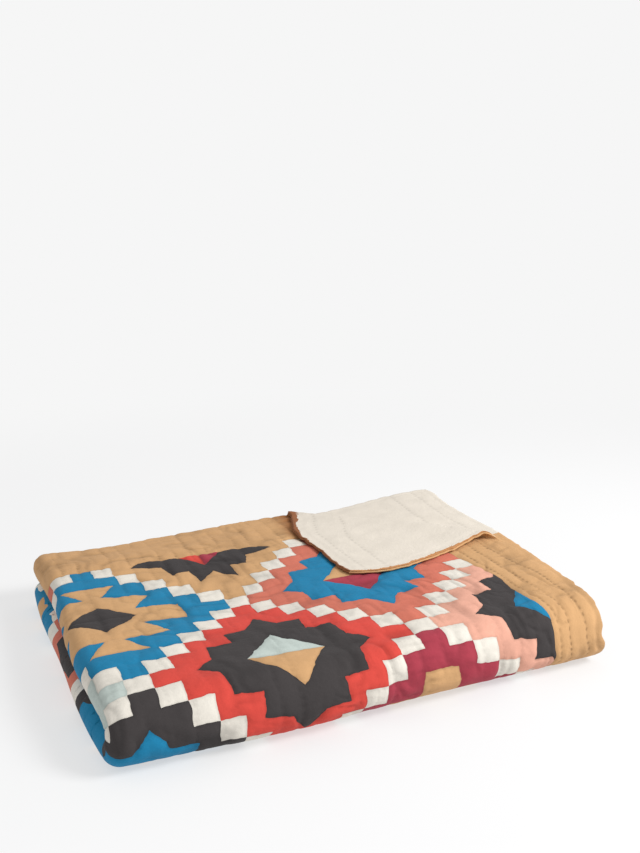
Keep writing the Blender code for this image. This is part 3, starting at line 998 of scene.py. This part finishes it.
# The turned corner's roll: its rows of points, their arc in radii, how far they keep from the
# hems and from other points, and how far those keep from the roll
ROLL_ROWS = 14
ROLL_ARC = 1.06 * math.pi
HEM_CLEAR = 0.08
ROLL_GAP = 0.01
ROLL_CLEAR = 0.04

# Steps between points and the rows beside each dashed line, in patches
OUTLINE_STEP = 0.05
DASH_STEP = 0.07
DASH_SIDES = (-0.045, 0.0, 0.045)
DASH_INSET = 0.3
BACKING_DASH_STEP = 0.08
BACKING_DASH_SIDES = (-0.05, 0.0, 0.05)
CORNER_STEP = 0.2
BACKING_STEP = 0.12
FINE_STEP = 0.1
ROLL_STEP = 0.05
ROUNDS_STEP = 0.15
WIDE_STEP = 0.34

# How far points keep from other lines: as a share of their step, and in patches
CLEAR_SHARE = 0.4
SEAM_CLEAR_SHARE = 0.35
LINE_CLEAR = 0.03


def steps_between(first, last, step):
    count = max(1, round((last - first) / step))
    return [round(first + (last - first) * k / count, 4) for k in range(count + 1)]


def hem_columns(ranges, end, lines):
    """Places along a hem: the lines that cross it, and between them finer ranges (from, to, step)."""
    places = sorted({0.0, end} | set(lines))
    for first, last, step in (*ranges, (0.0, end, HEM_STEP)):
        for place in steps_between(first, last, step):
            if min(abs(place - other) for other in places) > CLEAR_SHARE * step:
                places.append(place)
    return sorted(places)


BACK_ROLL = (TURN_ON_BACK_HEM - 0.5, TURN_ON_BACK_HEM + 0.5, ROLL_STEP)
RIGHT_ROLL = (TURN_ON_RIGHT_HEM - 0.7, TURN_ON_RIGHT_HEM + 0.7, ROLL_STEP)
BACK_HEM = hem_columns([BACK_ROLL, (0.0, TOP_U, FINE_STEP)], U_END, U_LINES)
RIGHT_HEM = hem_columns([RIGHT_ROLL, (0.0, TOP_V, FINE_STEP)], V_END, V_LINES)
FAR_BACK_HEM = hem_columns([(0.0, TURN_CORNER, 0.2)], U_END, U_LINES)
FAR_RIGHT_HEM = hem_columns([(0.0, HEM_STEP, HEM_STEP)], V_END, V_LINES)


def coarse_web(fine_u=0.0, fine_v=0.0):
    """The sheet's edge, and its folds in wide steps outside a finer stretch next to the hems' corner."""
    web = Web()
    web.line([(u, 0.0) for u in BACK_HEM])
    web.line([(0.0, v) for v in RIGHT_HEM])
    web.line([(u, V_END) for u in FAR_BACK_HEM])
    web.line([(U_END, v) for v in FAR_RIGHT_HEM])
    for u in U_LINES[1:-1]:
        web.line([(u, v) for v in V_LINES if u > fine_u or v > fine_v])
    for v in V_LINES[1:-1]:
        web.line([(u, v) for u in U_LINES if u > fine_u or v > fine_v])
    return web


def add_hem_rows(web, fine_u=0.0, fine_v=0.0):
    """Rows beside the hems, so that their edges in the stack are soft and uneven."""
    for inset in HEM_ROWS:
        places = [(u, inset) for u in BACK_HEM[1:-1] if u > fine_u]
        places += [(inset, v) for v in RIGHT_HEM[1:-1] if v > fine_v]
        places += [(u, V_END - inset) for u in FAR_BACK_HEM[1:-1]]
        places += [(U_END - inset, v) for v in FAR_RIGHT_HEM[1:-1]]
        for place in places:
            web.point(*place)


def off_roll(u, v):
    """How far a place on the sheet is from the turned corner's roll, in patches."""
    share, past = TURN.local(u * PATCH, v * PATCH)
    half_arc = math.pi / 2.0 * TURN.radius(min(max(share, 0.0), 1.0))
    return (abs(past) - half_arc) / PATCH


def add_roll_rows(web):
    """Rows along the turned corner's roll, close enough to bend round it."""
    count = round(TURN.span / (CORNER_STEP * PATCH))
    places = []
    for share in np.linspace(0.0, 1.0, count + 1)[1:-1]:
        for row in range(ROLL_ROWS + 1):
            past = TURN.radius(share) * ROLL_ARC * (row / ROLL_ROWS - 0.5)
            place = (TURN.on_back + TURN.along * (share * TURN.span) + TURN.across * past) / PATCH
            if place.min() > HEM_CLEAR and off_lattice(*place) > LINE_CLEAR:
                places.append(tuple(place))
    fill(web, places, ROLL_GAP)


def off_lattice(u, v):
    """How far a place is from the nearest line of the lattice that all layers share."""
    return min(min(abs(u - line) for line in U_LINES), min(abs(v - line) for line in V_LINES))


def flat_tree(places):
    """A tree of places on a plane, to find the nearest one."""
    tree = KDTree(len(places))
    for number, place in enumerate(places):
        tree.insert((place[0], place[1], 0.0), number)
    tree.balance()
    return tree


def fill(web, places, gap):
    """Adds the places that lie clear of the web's points, so that no slivers come between."""
    tree = flat_tree(web.points)
    for u, v in places:
        if tree.find((u, v, 0.0))[2] > gap:
            web.point(u, v)


def add_lattice(web, columns, rows, keep, dashes=()):
    """A lattice in a stretch of a web: on the lines that all layers share, beside dashes, between them."""
    step = columns[1] - columns[0]
    clear = CLEAR_SHARE * step
    on_lines = [(u, v) for u in U_LINES if columns[0] < u < columns[-1] for v in rows if keep(u, v)]
    on_lines += [(u, v) for v in V_LINES if rows[0] < v < rows[-1] for u in columns if keep(u, v)]
    fill(web, on_lines, clear)
    for line in dashes:
        fill(web, [(u, v) for u, v in line if keep(u, v) and off_lattice(u, v) > LINE_CLEAR], LINE_CLEAR)
    fill(web, [(u, v) for u in columns for v in rows if keep(u, v) and off_lattice(u, v) > clear], clear)


def roll_crossings():
    """Points on the lines that all layers share, where they cross the turned corner's roll."""
    places = []
    for axis, lines in ((0, U_LINES), (1, V_LINES)):
        ends = (TURN_ON_BACK_HEM, TURN_ON_RIGHT_HEM)
        for line in lines:
            left_over = 1.0 - line / ends[axis]
            if not 0.0 < left_over < 1.0:
                continue
            radius = TURN.radius(left_over if axis == 0 else 1.0 - left_over) / PATCH
            for row in range(ROLL_ROWS + 1):
                past = radius * ROLL_ARC * (row / ROLL_ROWS - 0.5)
                other = left_over * ends[1 - axis] + past / TURN.across[1 - axis]
                if other > HEM_CLEAR:
                    places.append((line, other) if axis == 0 else (other, line))
    return places


def add_turned_corner(web, step, dashes=()):
    """Points all over the turned corner and beside it, for a face of the cloth without a pattern."""
    fill(web, roll_crossings(), ROLL_GAP)
    add_roll_rows(web)
    places = steps_between(step, TURN_CORNER, step)
    add_lattice(web, places, places, in_turned_corner, dashes)


def in_turned_corner(u, v):
    return TURN.local(u * PATCH, v * PATCH)[1] > -TURN_BEFORE and off_roll(u, v) > LINE_CLEAR


def outline_tree(lines):
    """Points close together along lines, to find how far a place is from the nearest one."""
    return flat_tree([place for line in lines for place in subdivided(line, OUTLINE_STEP)])


# Stretches of the patterned side that show: from and to, in patches, and the step of their mesh
STRETCHES = (
    ("top", 0.0, TOP_U, 0.0, TOP_V, FINE_STEP),
    ("left rounds", FLAT_WIDE - SHOWN_MARGIN, TOP_U, TOP_V, UNDER_V, ROUNDS_STEP),
    ("underside", 0.0, FLAT_WIDE - SHOWN_MARGIN, TOP_V, UNDER_V, WIDE_STEP),
    ("back folds", 0.0, U_END, UNDER_V - FOLD_MARGIN, BACK.end / PATCH + FOLD_MARGIN, WIDE_STEP),
    (
        "right folds", RIGHT.start / PATCH - FOLD_MARGIN, RIGHT.end / PATCH + FOLD_MARGIN,
        0.0, V_END, WIDE_STEP,
    ),
)
PATTERN_LINES = {}
for title, *reach, mesh_step in STRETCHES:
    PATTERN_LINES[title] = stretch_lines(*reach, mesh_step)
SEAM_TREE = outline_tree(PATTERN_LINES["top"])


def patterned_web():
    """The patterned side, with the patchwork's own seams as edges wherever it shows."""
    web = coarse_web(TOP_U, TOP_V)
    add_hem_rows(web, TOP_U, TOP_V)
    for title, first_u, last_u, first_v, last_v, step in STRETCHES:
        for line in PATTERN_LINES[title]:
            web.line(subdivided(line, step))
        tree = outline_tree(PATTERN_LINES[title])
        columns = [u for u in steps_between(first_u, last_u, step) if 0.01 < u < U_END - 0.01]
        rows = [v for v in steps_between(first_v, last_v, step) if 0.01 < v < V_END - 0.01]
        for u in columns:
            for v in rows:
                if tree.find((u, v, 0.0))[2] > SEAM_CLEAR_SHARE * step and off_roll(u, v) > ROLL_CLEAR:
                    web.point(u, v)
    add_roll_rows(web)
    rows = np.arange(DASH_INSET, TOP_V - DASH_INSET, DASH_STEP)
    for first, last in BORDER_LINES:
        for side in DASH_SIDES:
            for u, v in zip(side - border_line(0.0 * rows, rows, first, last), rows):
                if off_roll(u, v) > ROLL_CLEAR:
                    web.point(u, v)
    return web


def flap_shade(flat):
    """How deep in the shade under the edge of the turned corner's flap each place lies, from 0 to 1."""
    shade = np.zeros(len(flat))
    along = np.arange(0.0, TURN_ON_BACK_HEM, FINE_STEP)
    tree = flat_tree(bundle_points(np.stack([along, 0.0 * along], axis=1), 0.0 * along).tolist())
    _, past = TURN.local(flat[:, 0] * PATCH, flat[:, 1] * PATCH)
    near = np.nonzero((flat[:, 0] < SHADE_PART[0]) & (flat[:, 1] < SHADE_PART[1]) & (past < 0.0))[0]
    places = bundle_points(flat[near], np.zeros(len(near)))
    for k, (x, y, _) in zip(near.tolist(), places.tolist()):
        _, number, distance = tree.find((x, y, 0.0))
        at_fold = smooth_step(along[number] / TURN_ON_BACK_HEM)
        reach = SHADE_REACH_AT_TIP + (SHADE_REACH_AT_FOLD - SHADE_REACH_AT_TIP) * at_fold**4
        shade[k] = (SHADE_AT_TIP + (1.0 - SHADE_AT_TIP) * at_fold) * bell(distance, reach)
    return shade


def top_relief(flat):
    """How the patterned side stands over or under its mean height where it shows, and the shade painted
    along its seams, stitched lines and wrinkles.
    """
    u, v = flat[:, 0], flat[:, 1]
    shown = (u < TOP_U) & (v < TOP_V)
    off_seam = np.full(len(u), 1.0)
    off_seam[shown] = [SEAM_TREE.find((*place, 0.0))[2] for place in flat[shown].tolist()]
    even_u, even_v = to_pattern(u, v)
    number, off_line, stitch = quilt_place(even_u, v)
    off_patch = np.minimum(np.abs(even_u - np.round(even_u)), np.abs(even_v - np.round(even_v)))
    strength = quilt_strength(even_u, v, number)
    off_edge_line, dash = border_place(u, v)
    edged = (even_u < BORDER - BORDER_SEAM_CLEAR).astype(float)
    near_floor = smooth_step((v - FRONT_PLACE) / FRONT_REACH)
    folds = wrinkles(u, v)
    depth = sum(deep * bell(off_seam, width) for deep, width in SEAM_TROUGHS)
    depth = depth + WEAK_SEAM[0] * bell(off_patch, WEAK_SEAM[1]) * smooth_step(off_seam / WEAK_SEAM_CLEAR)
    depth = depth + groove("quilting", off_line, stitch) * strength * (1.0 + MORE_GROOVE * near_floor)
    depth = depth + groove("border", off_edge_line, dash) * edged
    depth = depth + weighted(WRINKLE_DEPTHS, folds) * (1.0 + MORE_WRINKLE * near_floor)
    height = np.maximum(TOP_MEAN + layered(u, v, TOP_SWELL) - depth, DEEPEST)
    for off_hem, least in ((u, RIGHT_HEM_RELIEF), (v, BACK_HEM_RELIEF)):
        height = height * (least + (1.0 - least) * smooth_step(off_hem / HEM_RELIEF_REACH))
    inside = smooth_step((TOP_V - EDGE_CLEAR - v) / FLOOR_EASE)
    inside = inside * smooth_step((TOP_U - EDGE_CLEAR - u) / CREASE_EASE)
    height = height * np.where(height > 0.0, inside, SUNK_SHARE + (1.0 - SUNK_SHARE) * inside)
    # Painted shade: darkening along the quilting lines, seams, wrinkles and border dashes, which the
    # material applies to the dye
    crease_shade = strength * groove_shade("quilting", off_line, stitch)
    crease_shade = crease_shade + SEAM_SHADE[0] * bell(off_seam, SEAM_SHADE[1]) + weighted(WRINKLE_SHADE, folds)
    uneven = np.clip(DASH_MEAN + layered(u, v, DASH_UNEVEN), *DASH_LIMITS)
    crease_shade = crease_shade + edged * uneven * groove_shade("border", off_edge_line, dash)
    return np.where(shown, height, 0.0), np.where(shown, np.clip(crease_shade, 0.0, 1.0), 0.0)


def hem_thinning(flat):
    """How far each side of the cloth draws in beside a hem, in metres."""
    u, v = flat[:, 0], flat[:, 1]
    off_hem = np.minimum(np.minimum(u, U_END - u), np.minimum(v, V_END - v))
    return sum(depth * bell(off_hem - place, width) for place, depth, width in HEM_TROUGHS)


def backing_line(along, place):
    """The height over the sheet's hem of a line that wanders, at places along it."""
    return place + wander(along, place, BACKING_WANDER)


def backing_relief(flat):
    """How far the cream side draws in at its quilting lines, and the shade painted along them."""
    u, v = flat[:, 0], flat[:, 1]
    on_flap = (u < TURN_CORNER) & (v < TURN_CORNER)
    beside = (u < TURN_CORNER) & (V_END - v < TURN_CORNER)
    off_line = np.full(len(u), 9.0)
    for place in BACKING_LINES_ON_FLAP:
        off_line = np.where(on_flap, np.minimum(off_line, np.abs(v - backing_line(u, place))), off_line)
    for place in BACKING_LINES_BESIDE:
        off_line = np.where(beside, np.minimum(off_line, np.abs(u - backing_line(v, place))), off_line)
    shown = on_flap | beside
    stitch = stitched("backing", np.where(on_flap, u, v) / STITCH_STEP)
    depth = groove("backing", off_line, stitch) + weighted(BACKING_WRINKLE_DEPTHS, wrinkles(u, v))
    depth = np.minimum(depth - BACKING_MEAN - layered(u, v, BACKING_SWELL), BACKING_DEEPEST)
    # The second value is painted shade along the stitched lines
    return np.where(shown, depth, 0.0), np.where(shown, groove_shade("backing", off_line, stitch), 0.0)


def outward(flat):
    """The direction out of the sheet at points on its hems, and zero elsewhere."""
    u, v = flat[:, 0], flat[:, 1]
    along_u = (u > U_END - ON_HEM) * 1.0 - (u < ON_HEM)
    along_v = (v > V_END - ON_HEM) * 1.0 - (v < ON_HEM)
    away = np.stack([along_u, along_v], axis=1)
    return away / np.maximum(np.linalg.norm(away, axis=1), 1.0)[:, None]


def hem_loop(faces, flat):
    """The outer edge of the flat triangles, as a list of points in order."""
    pairs = np.concatenate([faces[:, [0, 1]], faces[:, [1, 2]], faces[:, [2, 0]]])
    on_hem = outward(flat).any(axis=1)
    pairs = pairs[on_hem[pairs[:, 0]] & on_hem[pairs[:, 1]]]
    known = set(map(tuple, pairs.tolist()))
    follows = {a: b for a, b in known if (b, a) not in known}
    start = min(follows, key=lambda k: flat[k][0] + flat[k][1])
    loop = [start]
    while follows[loop[-1]] != start:
        loop.append(follows[loop[-1]])
    return loop


def cloth_mesh(name, top, under, rim_out, rim_rows):
    """One closed fabric from its two faces, each a tuple of flat places, triangles and heights."""
    top_flat, top_faces, top_n = top
    under_flat, under_faces, under_n = under
    top_loop, under_loop = hem_loop(top_faces, top_flat), hem_loop(under_faces, under_flat)
    if len(top_loop) != len(under_loop):
        raise ValueError(f"the hems of {name} don't match: {len(top_loop)} and {len(under_loop)}")
    count = len(top_loop)
    flats = [top_flat, under_flat]
    points = [bundle_points(top_flat, top_n), bundle_points(under_flat, under_n)]
    rings = [np.array(top_loop)]
    total = len(top_flat) + len(under_flat)
    away = outward(top_flat[top_loop])
    middle = (top_n[top_loop] + under_n[under_loop]) / 2.0
    half = (top_n[top_loop] - under_n[under_loop]) / 2.0
    for row in range(1, rim_rows + 1):
        turn = math.pi * row / (rim_rows + 1)
        place = top_flat[top_loop] + away * (rim_out * math.sin(turn) / PATCH)
        flats.append(place)
        points.append(bundle_points(place, middle + half * math.cos(turn)))
        rings.append(total + np.arange(count))
        total += count
    rings.append(len(top_flat) + np.array(under_loop))
    faces = top_faces.tolist() + (len(top_flat) + under_faces[:, ::-1]).tolist()
    for first, second in zip(rings, rings[1:]):
        ahead_first, ahead_second = np.roll(first, -1), np.roll(second, -1)
        faces += np.stack([ahead_first, first, second, ahead_second], axis=1).tolist()
    mesh = bpy.data.meshes.new(name)
    mesh.from_pydata(np.concatenate(points).tolist(), [], faces)
    mesh.shade_smooth()
    return mesh, np.concatenate(flats)


def linear(rgb):
    value = np.array(rgb, float) / 255.0
    return np.where(value <= 0.04045, value / 12.92, ((value + 0.055) / 1.055) ** 2.4)


def whole_numbers(items, name):
    numbers = np.zeros(len(items), np.int32)
    items.foreach_get(name, numbers)
    return numbers


def face_places(mesh, flats):
    """The middle of each face on the flat sheet; the rim's faces lie just past its hems."""
    sums = np.add.reduceat(
        flats[whole_numbers(mesh.loops, "vertex_index")], whole_numbers(mesh.polygons, "loop_start"))
    return sums / whole_numbers(mesh.polygons, "loop_total")[:, None]


def set_corner_colours(mesh, face_colours):
    corners = np.repeat(face_colours, whole_numbers(mesh.polygons, "loop_total"), axis=0)
    colours = np.concatenate([corners, np.ones((len(corners), 1))], axis=1).astype(np.float32)
    attribute = mesh.color_attributes.new(name="dye", type="FLOAT_COLOR", domain="CORNER")
    attribute.data.foreach_set("color", colours.ravel())


def set_point_values(mesh, name, values):
    attribute = mesh.attributes.new(name=name, type="FLOAT", domain="POINT")
    attribute.data.foreach_set("value", values.astype(np.float32))


def set_flat_places(mesh, flat):
    places = np.concatenate([flat * PATCH, np.zeros((len(flat), 1))], axis=1).astype(np.float32)
    attribute = mesh.attributes.new(name="flat_place", type="FLOAT_VECTOR", domain="POINT")
    attribute.data.foreach_set("vector", places.ravel())


def front_piece():
    web = patterned_web()
    flat, faces = web.triangles()
    relief, crease_shade = top_relief(flat)
    top_n = TOP_SIDE + relief - hem_thinning(flat)
    under = coarse_web()
    add_turned_corner(under, CORNER_STEP)
    under_flat, under_faces = under.triangles()
    under_n = np.full(len(under_flat), FRONT_INNER_SIDE)
    mesh, flats = cloth_mesh(
        "patchwork_front_cloth", (flat, faces, top_n), (under_flat, under_faces, under_n),
        FRONT_RIM, FRONT_RIM_ROWS)
    laid = face_places(mesh, flats)
    top = laid[:len(faces)]
    u, v = to_pattern(*top.T)
    dyes = np.array([linear(DYES[name]) for name in DYE_NAMES])
    tone = 1.0 + PATCH_TONE * (hashed(np.floor(u), np.floor(v), PATCH_SEED) - 0.5)
    colours = np.tile(linear(DYES["ochre"]), (len(laid), 1))
    colours[:len(faces)] = dyes[dye_numbers(u, v, FINE_STEP)] * tone[:, None]
    colours[:len(faces)] *= 1.0 - flap_shade(top)[:, None] * np.array(SHADE_TAKES)
    # Painted shade: the rim along the back hem up to the fold is darker
    colours[(laid[:, 1] < 0.0) & (laid[:, 0] < TURN_ON_BACK_HEM)] = linear(SHADED_BACK_RIM)
    set_corner_colours(mesh, CLOTH_GAIN * colours)
    # The painted shade of the grooves goes to the mesh as a value for each point
    set_point_values(mesh, "crease_shade", np.concatenate([crease_shade, np.zeros(len(flats) - len(flat))]))
    set_flat_places(mesh, flats)
    return mesh


def backing_piece():
    under = coarse_web()
    add_hem_rows(under)
    rows = np.arange(0.2, TURN_CORNER, BACKING_DASH_STEP)
    far = V_END - rows
    on_flap, beside = [], []
    for side in BACKING_DASH_SIDES:
        on_flap += [zip(rows, backing_line(rows, place) + side) for place in BACKING_LINES_ON_FLAP]
        beside += [zip(backing_line(far, place) + side, far) for place in BACKING_LINES_BESIDE]
    add_turned_corner(under, BACKING_STEP, on_flap)
    columns = steps_between(BACKING_STEP, TURN_CORNER, BACKING_STEP)
    rows = steps_between(V_END - TURN_CORNER, V_END - BACKING_STEP, BACKING_STEP)
    add_lattice(under, columns, rows, lambda u, v: True, beside)
    under_flat, under_faces = under.triangles()
    depth, crease_shade = backing_relief(under_flat)
    under_n = UNDER_SIDE + depth + hem_thinning(under_flat)
    inner = coarse_web()
    add_turned_corner(inner, CORNER_STEP)
    flat, faces = inner.triangles()
    top_n = np.full(len(flat), BACKING_INNER_SIDE)
    mesh, flats = cloth_mesh(
        "backing_cloth", (flat, faces, top_n), (under_flat, under_faces, under_n),
        BACKING_RIM, BACKING_RIM_ROWS)
    u, v = face_places(mesh, flats).T
    colours = np.tile(linear(BACKING_DYE), (len(u), 1))
    past = TURN.local(u * PATCH, v * PATCH)[1]
    wide_hem = HEM_TURN * (1.0 + wander(u + v, 0.0, HEM_TURN_UNEVEN))
    near_fold = smooth_step((u - HEM_TURN_FROM) / (TURN_ON_BACK_HEM - HEM_TURN_FROM))
    back_share = HEM_TURN_AT_TIP + (HEM_TURN_AT_FOLD - HEM_TURN_AT_TIP) * near_fold
    turned = (past > 0.0) & ((v < back_share * wide_hem) | (u < RIGHT_HEM_TURN * wide_hem))
    rolled = (u < ROLLED_HEM) & (V_END - v > ROLLED_FROM) & (V_END - v < ROLLED_TO)
    colours[rolled] = linear(DYES["ochre"])
    colours[turned] = linear(RIM_DYE)
    # Painted shade: the turned strip along the back hem is darker as well
    colours[turned & (v < u)] = linear(SHADED_BACK_RIM)
    set_corner_colours(mesh, CLOTH_GAIN * colours)
    values = np.zeros(len(flats))
    values[len(flat):len(flat) + len(under_flat)] = crease_shade
    # Painted shade along the cream side's stitched lines, as a value for each point
    set_point_values(mesh, "crease_shade", values)
    set_flat_places(mesh, flats)
    return mesh


class Nodes:
    """The nodes of a material or world, added and joined in short lines."""

    def __init__(self, owner):
        owner.use_nodes = True
        self.tree = owner.node_tree
        self.tree.nodes.clear()

    def add(self, kind, settings=None, **inputs):
        node = self.tree.nodes.new(kind)
        for name, value in (settings or {}).items():
            setattr(node, name, value)
        for name, value in inputs.items():
            self.join(value, node.inputs[name.replace("_", " ")])
        return node

    def join(self, value, socket):
        if isinstance(value, bpy.types.NodeSocket):
            self.tree.links.new(value, socket)
        else:
            socket.default_value = value

    def pair(self, kind, first, second, settings=None):
        """A node whose first two inputs are joined in order."""
        node = self.add(kind, settings)
        self.join(first, node.inputs[0])
        self.join(second, node.inputs[1])
        return node.outputs[0]

    def noise(self, place, scale, detail, roughness=0.5):
        node = self.add("ShaderNodeTexNoise", Vector=place, Scale=scale, Detail=detail, Roughness=roughness)
        return node.outputs["Fac"]


def fabric_material(name, slub, crease_shade_strength):
    """Washed plain-weave cotton: dye from the patches, darkened by painted shade in its creases, with
    threads as bump.
    """
    material = bpy.data.materials.new(name)
    nodes = Nodes(material)
    dye = nodes.add("ShaderNodeAttribute", {"attribute_name": "dye"}).outputs["Color"]
    crease_shade = nodes.add("ShaderNodeAttribute", {"attribute_name": "crease_shade"}).outputs["Fac"]
    place = nodes.add("ShaderNodeAttribute", {"attribute_name": "flat_place"}).outputs["Vector"]
    threads = []
    for scale in (WEFT_SCALE, WARP_SCALE):
        along = nodes.add("ShaderNodeMapping", Vector=place, Scale=scale).outputs["Vector"]
        threads.append(nodes.noise(along, 1.0, 2.0))
    weave = nodes.pair("ShaderNodeMath", *threads, {"operation": "ADD"})
    washed = nodes.add(
        "ShaderNodeMapRange", Value=nodes.noise(place, WASH_SCALE, 4.0, 0.6),
        From_Min=0.3, From_Max=0.7, To_Min=1.0 - WASH_TONE, To_Max=1.0 + WASH_TONE).outputs[0]
    thread_tone = nodes.add(
        "ShaderNodeMapRange", Value=weave, From_Min=0.7, From_Max=1.3,
        To_Min=1.0 - slub, To_Max=1.0 + slub).outputs[0]
    # Painted shade: the dye grows darker where the mesh's crease values are high
    painted_shade = nodes.add("ShaderNodeMapRange", Value=crease_shade, To_Min=1.0, To_Max=1.0 - crease_shade_strength).outputs[0]
    tone = nodes.pair("ShaderNodeMath", washed, thread_tone, {"operation": "MULTIPLY"})
    shade = nodes.pair("ShaderNodeMath", tone, painted_shade, {"operation": "MULTIPLY"})
    colour = nodes.add("ShaderNodeVectorMath", {"operation": "SCALE"}, Vector=dye, Scale=shade)
    crumple = nodes.noise(place, CRUMPLE_SCALE, 4.0, 0.6)
    soft = nodes.add("ShaderNodeBump", Strength=0.5, Distance=CRUMPLE_HEIGHT, Height=crumple)
    bump = nodes.add(
        "ShaderNodeBump", Strength=0.3, Distance=THREAD_HEIGHT, Height=weave, Normal=soft.outputs["Normal"])
    shader = nodes.add(
        "ShaderNodeBsdfPrincipled", Base_Color=colour.outputs[0], Roughness=0.86,
        Normal=bump.outputs["Normal"])
    shader.inputs["Specular IOR Level"].default_value = 0.12
    shader.inputs["Sheen Weight"].default_value = 0.04
    shader.inputs["Sheen Roughness"].default_value = 0.45
    nodes.add("ShaderNodeOutputMaterial", Surface=shader.outputs[0])
    return material


def stand(meshes):
    """Moves the meshes so that the bundle stands where its solids do."""
    low, high = CAD_BOX
    points = np.array([vertex.co for mesh in meshes for vertex in mesh.vertices])
    least, most = points.min(axis=0), points.max(axis=0)
    move = Vector((
        (low.x + high.x - least[0] - most[0]) / 2.0,
        (low.y + high.y - least[1] - most[1]) / 2.0,
        low.z - least[2],
    ))
    for mesh in meshes:
        mesh.transform(Matrix.Translation(move))


def add_object(name, mesh):
    obj = bpy.data.objects.new(name, mesh)
    bpy.context.scene.collection.objects.link(obj)
    return obj


def add_floor():
    """A pale floor that fades into the pale background."""
    half = FLOOR_HALF
    corners = [(-half, -half, 0.0), (half, -half, 0.0), (half, half, 0.0), (-half, half, 0.0)]
    mesh = bpy.data.meshes.new("floor")
    mesh.from_pydata(corners, [], [(0, 1, 2, 3)])
    floor = add_object("floor", mesh)
    floor.location.z = -FLOOR_DROP
    material = bpy.data.materials.new("floor")
    nodes = Nodes(material)
    place = nodes.add("ShaderNodeTexCoord").outputs["Object"]
    distance = nodes.add("ShaderNodeVectorMath", {"operation": "LENGTH"}, Vector=place).outputs["Value"]
    fade = nodes.add(
        "ShaderNodeMapRange", {"interpolation_type": "SMOOTHSTEP"}, Value=distance,
        From_Min=FLOOR_FADE[0], From_Max=FLOOR_FADE[1], To_Min=FLOOR_GLOW)
    paper = nodes.add("ShaderNodeBsdfDiffuse", Color=(*FLOOR_COLOUR, 1.0))
    glow = nodes.add("ShaderNodeEmission", Color=(*linear(BACKGROUND_RGB), 1.0), Strength=1.0)
    mix = nodes.add("ShaderNodeMixShader", Fac=fade.outputs[0])
    nodes.join(paper.outputs[0], mix.inputs[1])
    nodes.join(glow.outputs[0], mix.inputs[2])
    nodes.add("ShaderNodeOutputMaterial", Surface=mix.outputs[0])
    mesh.materials.append(material)


def add_camera():
    data = bpy.data.cameras.new("camera")
    data.sensor_fit = "HORIZONTAL"
    data.sensor_width = SENSOR
    data.lens = FOCAL_PIXELS * SENSOR / IMAGE_WIDE
    camera = bpy.data.objects.new("camera", data)
    bpy.context.scene.collection.objects.link(camera)
    camera.location = CAMERA_PLACE
    camera.rotation_euler = (math.pi / 2.0 - CAMERA_ELEVATION, 0.0, CAMERA_AZIMUTH)
    bpy.context.scene.camera = camera


def add_key_light():
    """A soft box that faces the bundle, at an azimuth from the front and an elevation in degrees."""
    data = bpy.data.lights.new("key", "AREA")
    data.shape = "SQUARE"
    data.size = KEY_SIZE
    data.energy = KEY_POWER
    light = bpy.data.objects.new("key", data)
    bpy.context.scene.collection.objects.link(light)
    turn, rise = math.radians(KEY_AZIMUTH), math.radians(KEY_ELEVATION)
    away = Vector((math.sin(turn) * math.cos(rise), -math.cos(turn) * math.cos(rise), math.sin(rise)))
    light.location = away * KEY_DISTANCE
    light.rotation_euler = away.to_track_quat("Z", "Y").to_euler()


def add_world():
    """An even light from all round, and the background that is seen instead of it."""
    world = bpy.data.worlds.new("studio")
    bpy.context.scene.world = world
    nodes = Nodes(world)
    dome = nodes.add("ShaderNodeBackground", Color=(1.0, 1.0, 1.0, 1.0), Strength=DOME_STRENGTH)
    seen = nodes.add("ShaderNodeBackground", Color=(*linear(BACKGROUND_RGB), 1.0))
    seen_straight = nodes.add("ShaderNodeLightPath").outputs["Is Camera Ray"]
    mix = nodes.add("ShaderNodeMixShader", Fac=seen_straight)
    nodes.join(dome.outputs[0], mix.inputs[1])
    nodes.join(seen.outputs[0], mix.inputs[2])
    nodes.add("ShaderNodeOutputWorld", Surface=mix.outputs[0])


front_mesh = front_piece()
backing_mesh = backing_piece()
stand([front_mesh, backing_mesh])
front = add_object("patchwork_front_cloth", front_mesh)
backing = add_object("backing_cloth", backing_mesh)
front_mesh.materials.append(fabric_material("patchwork_fabric", slub=0.05, crease_shade_strength=0.45))
backing_mesh.materials.append(fabric_material("backing_fabric", slub=0.03, crease_shade_strength=0.25))
for piece, node, slot in (
    (front, "patchwork_front", "patchwork_cotton"),
    (backing, "backing", "backing_cotton"),
):
    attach(piece, "root")
    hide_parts(node)

add_floor()
add_camera()
add_world()
add_key_light()
bpy.context.scene.view_settings.view_transform = "Standard"
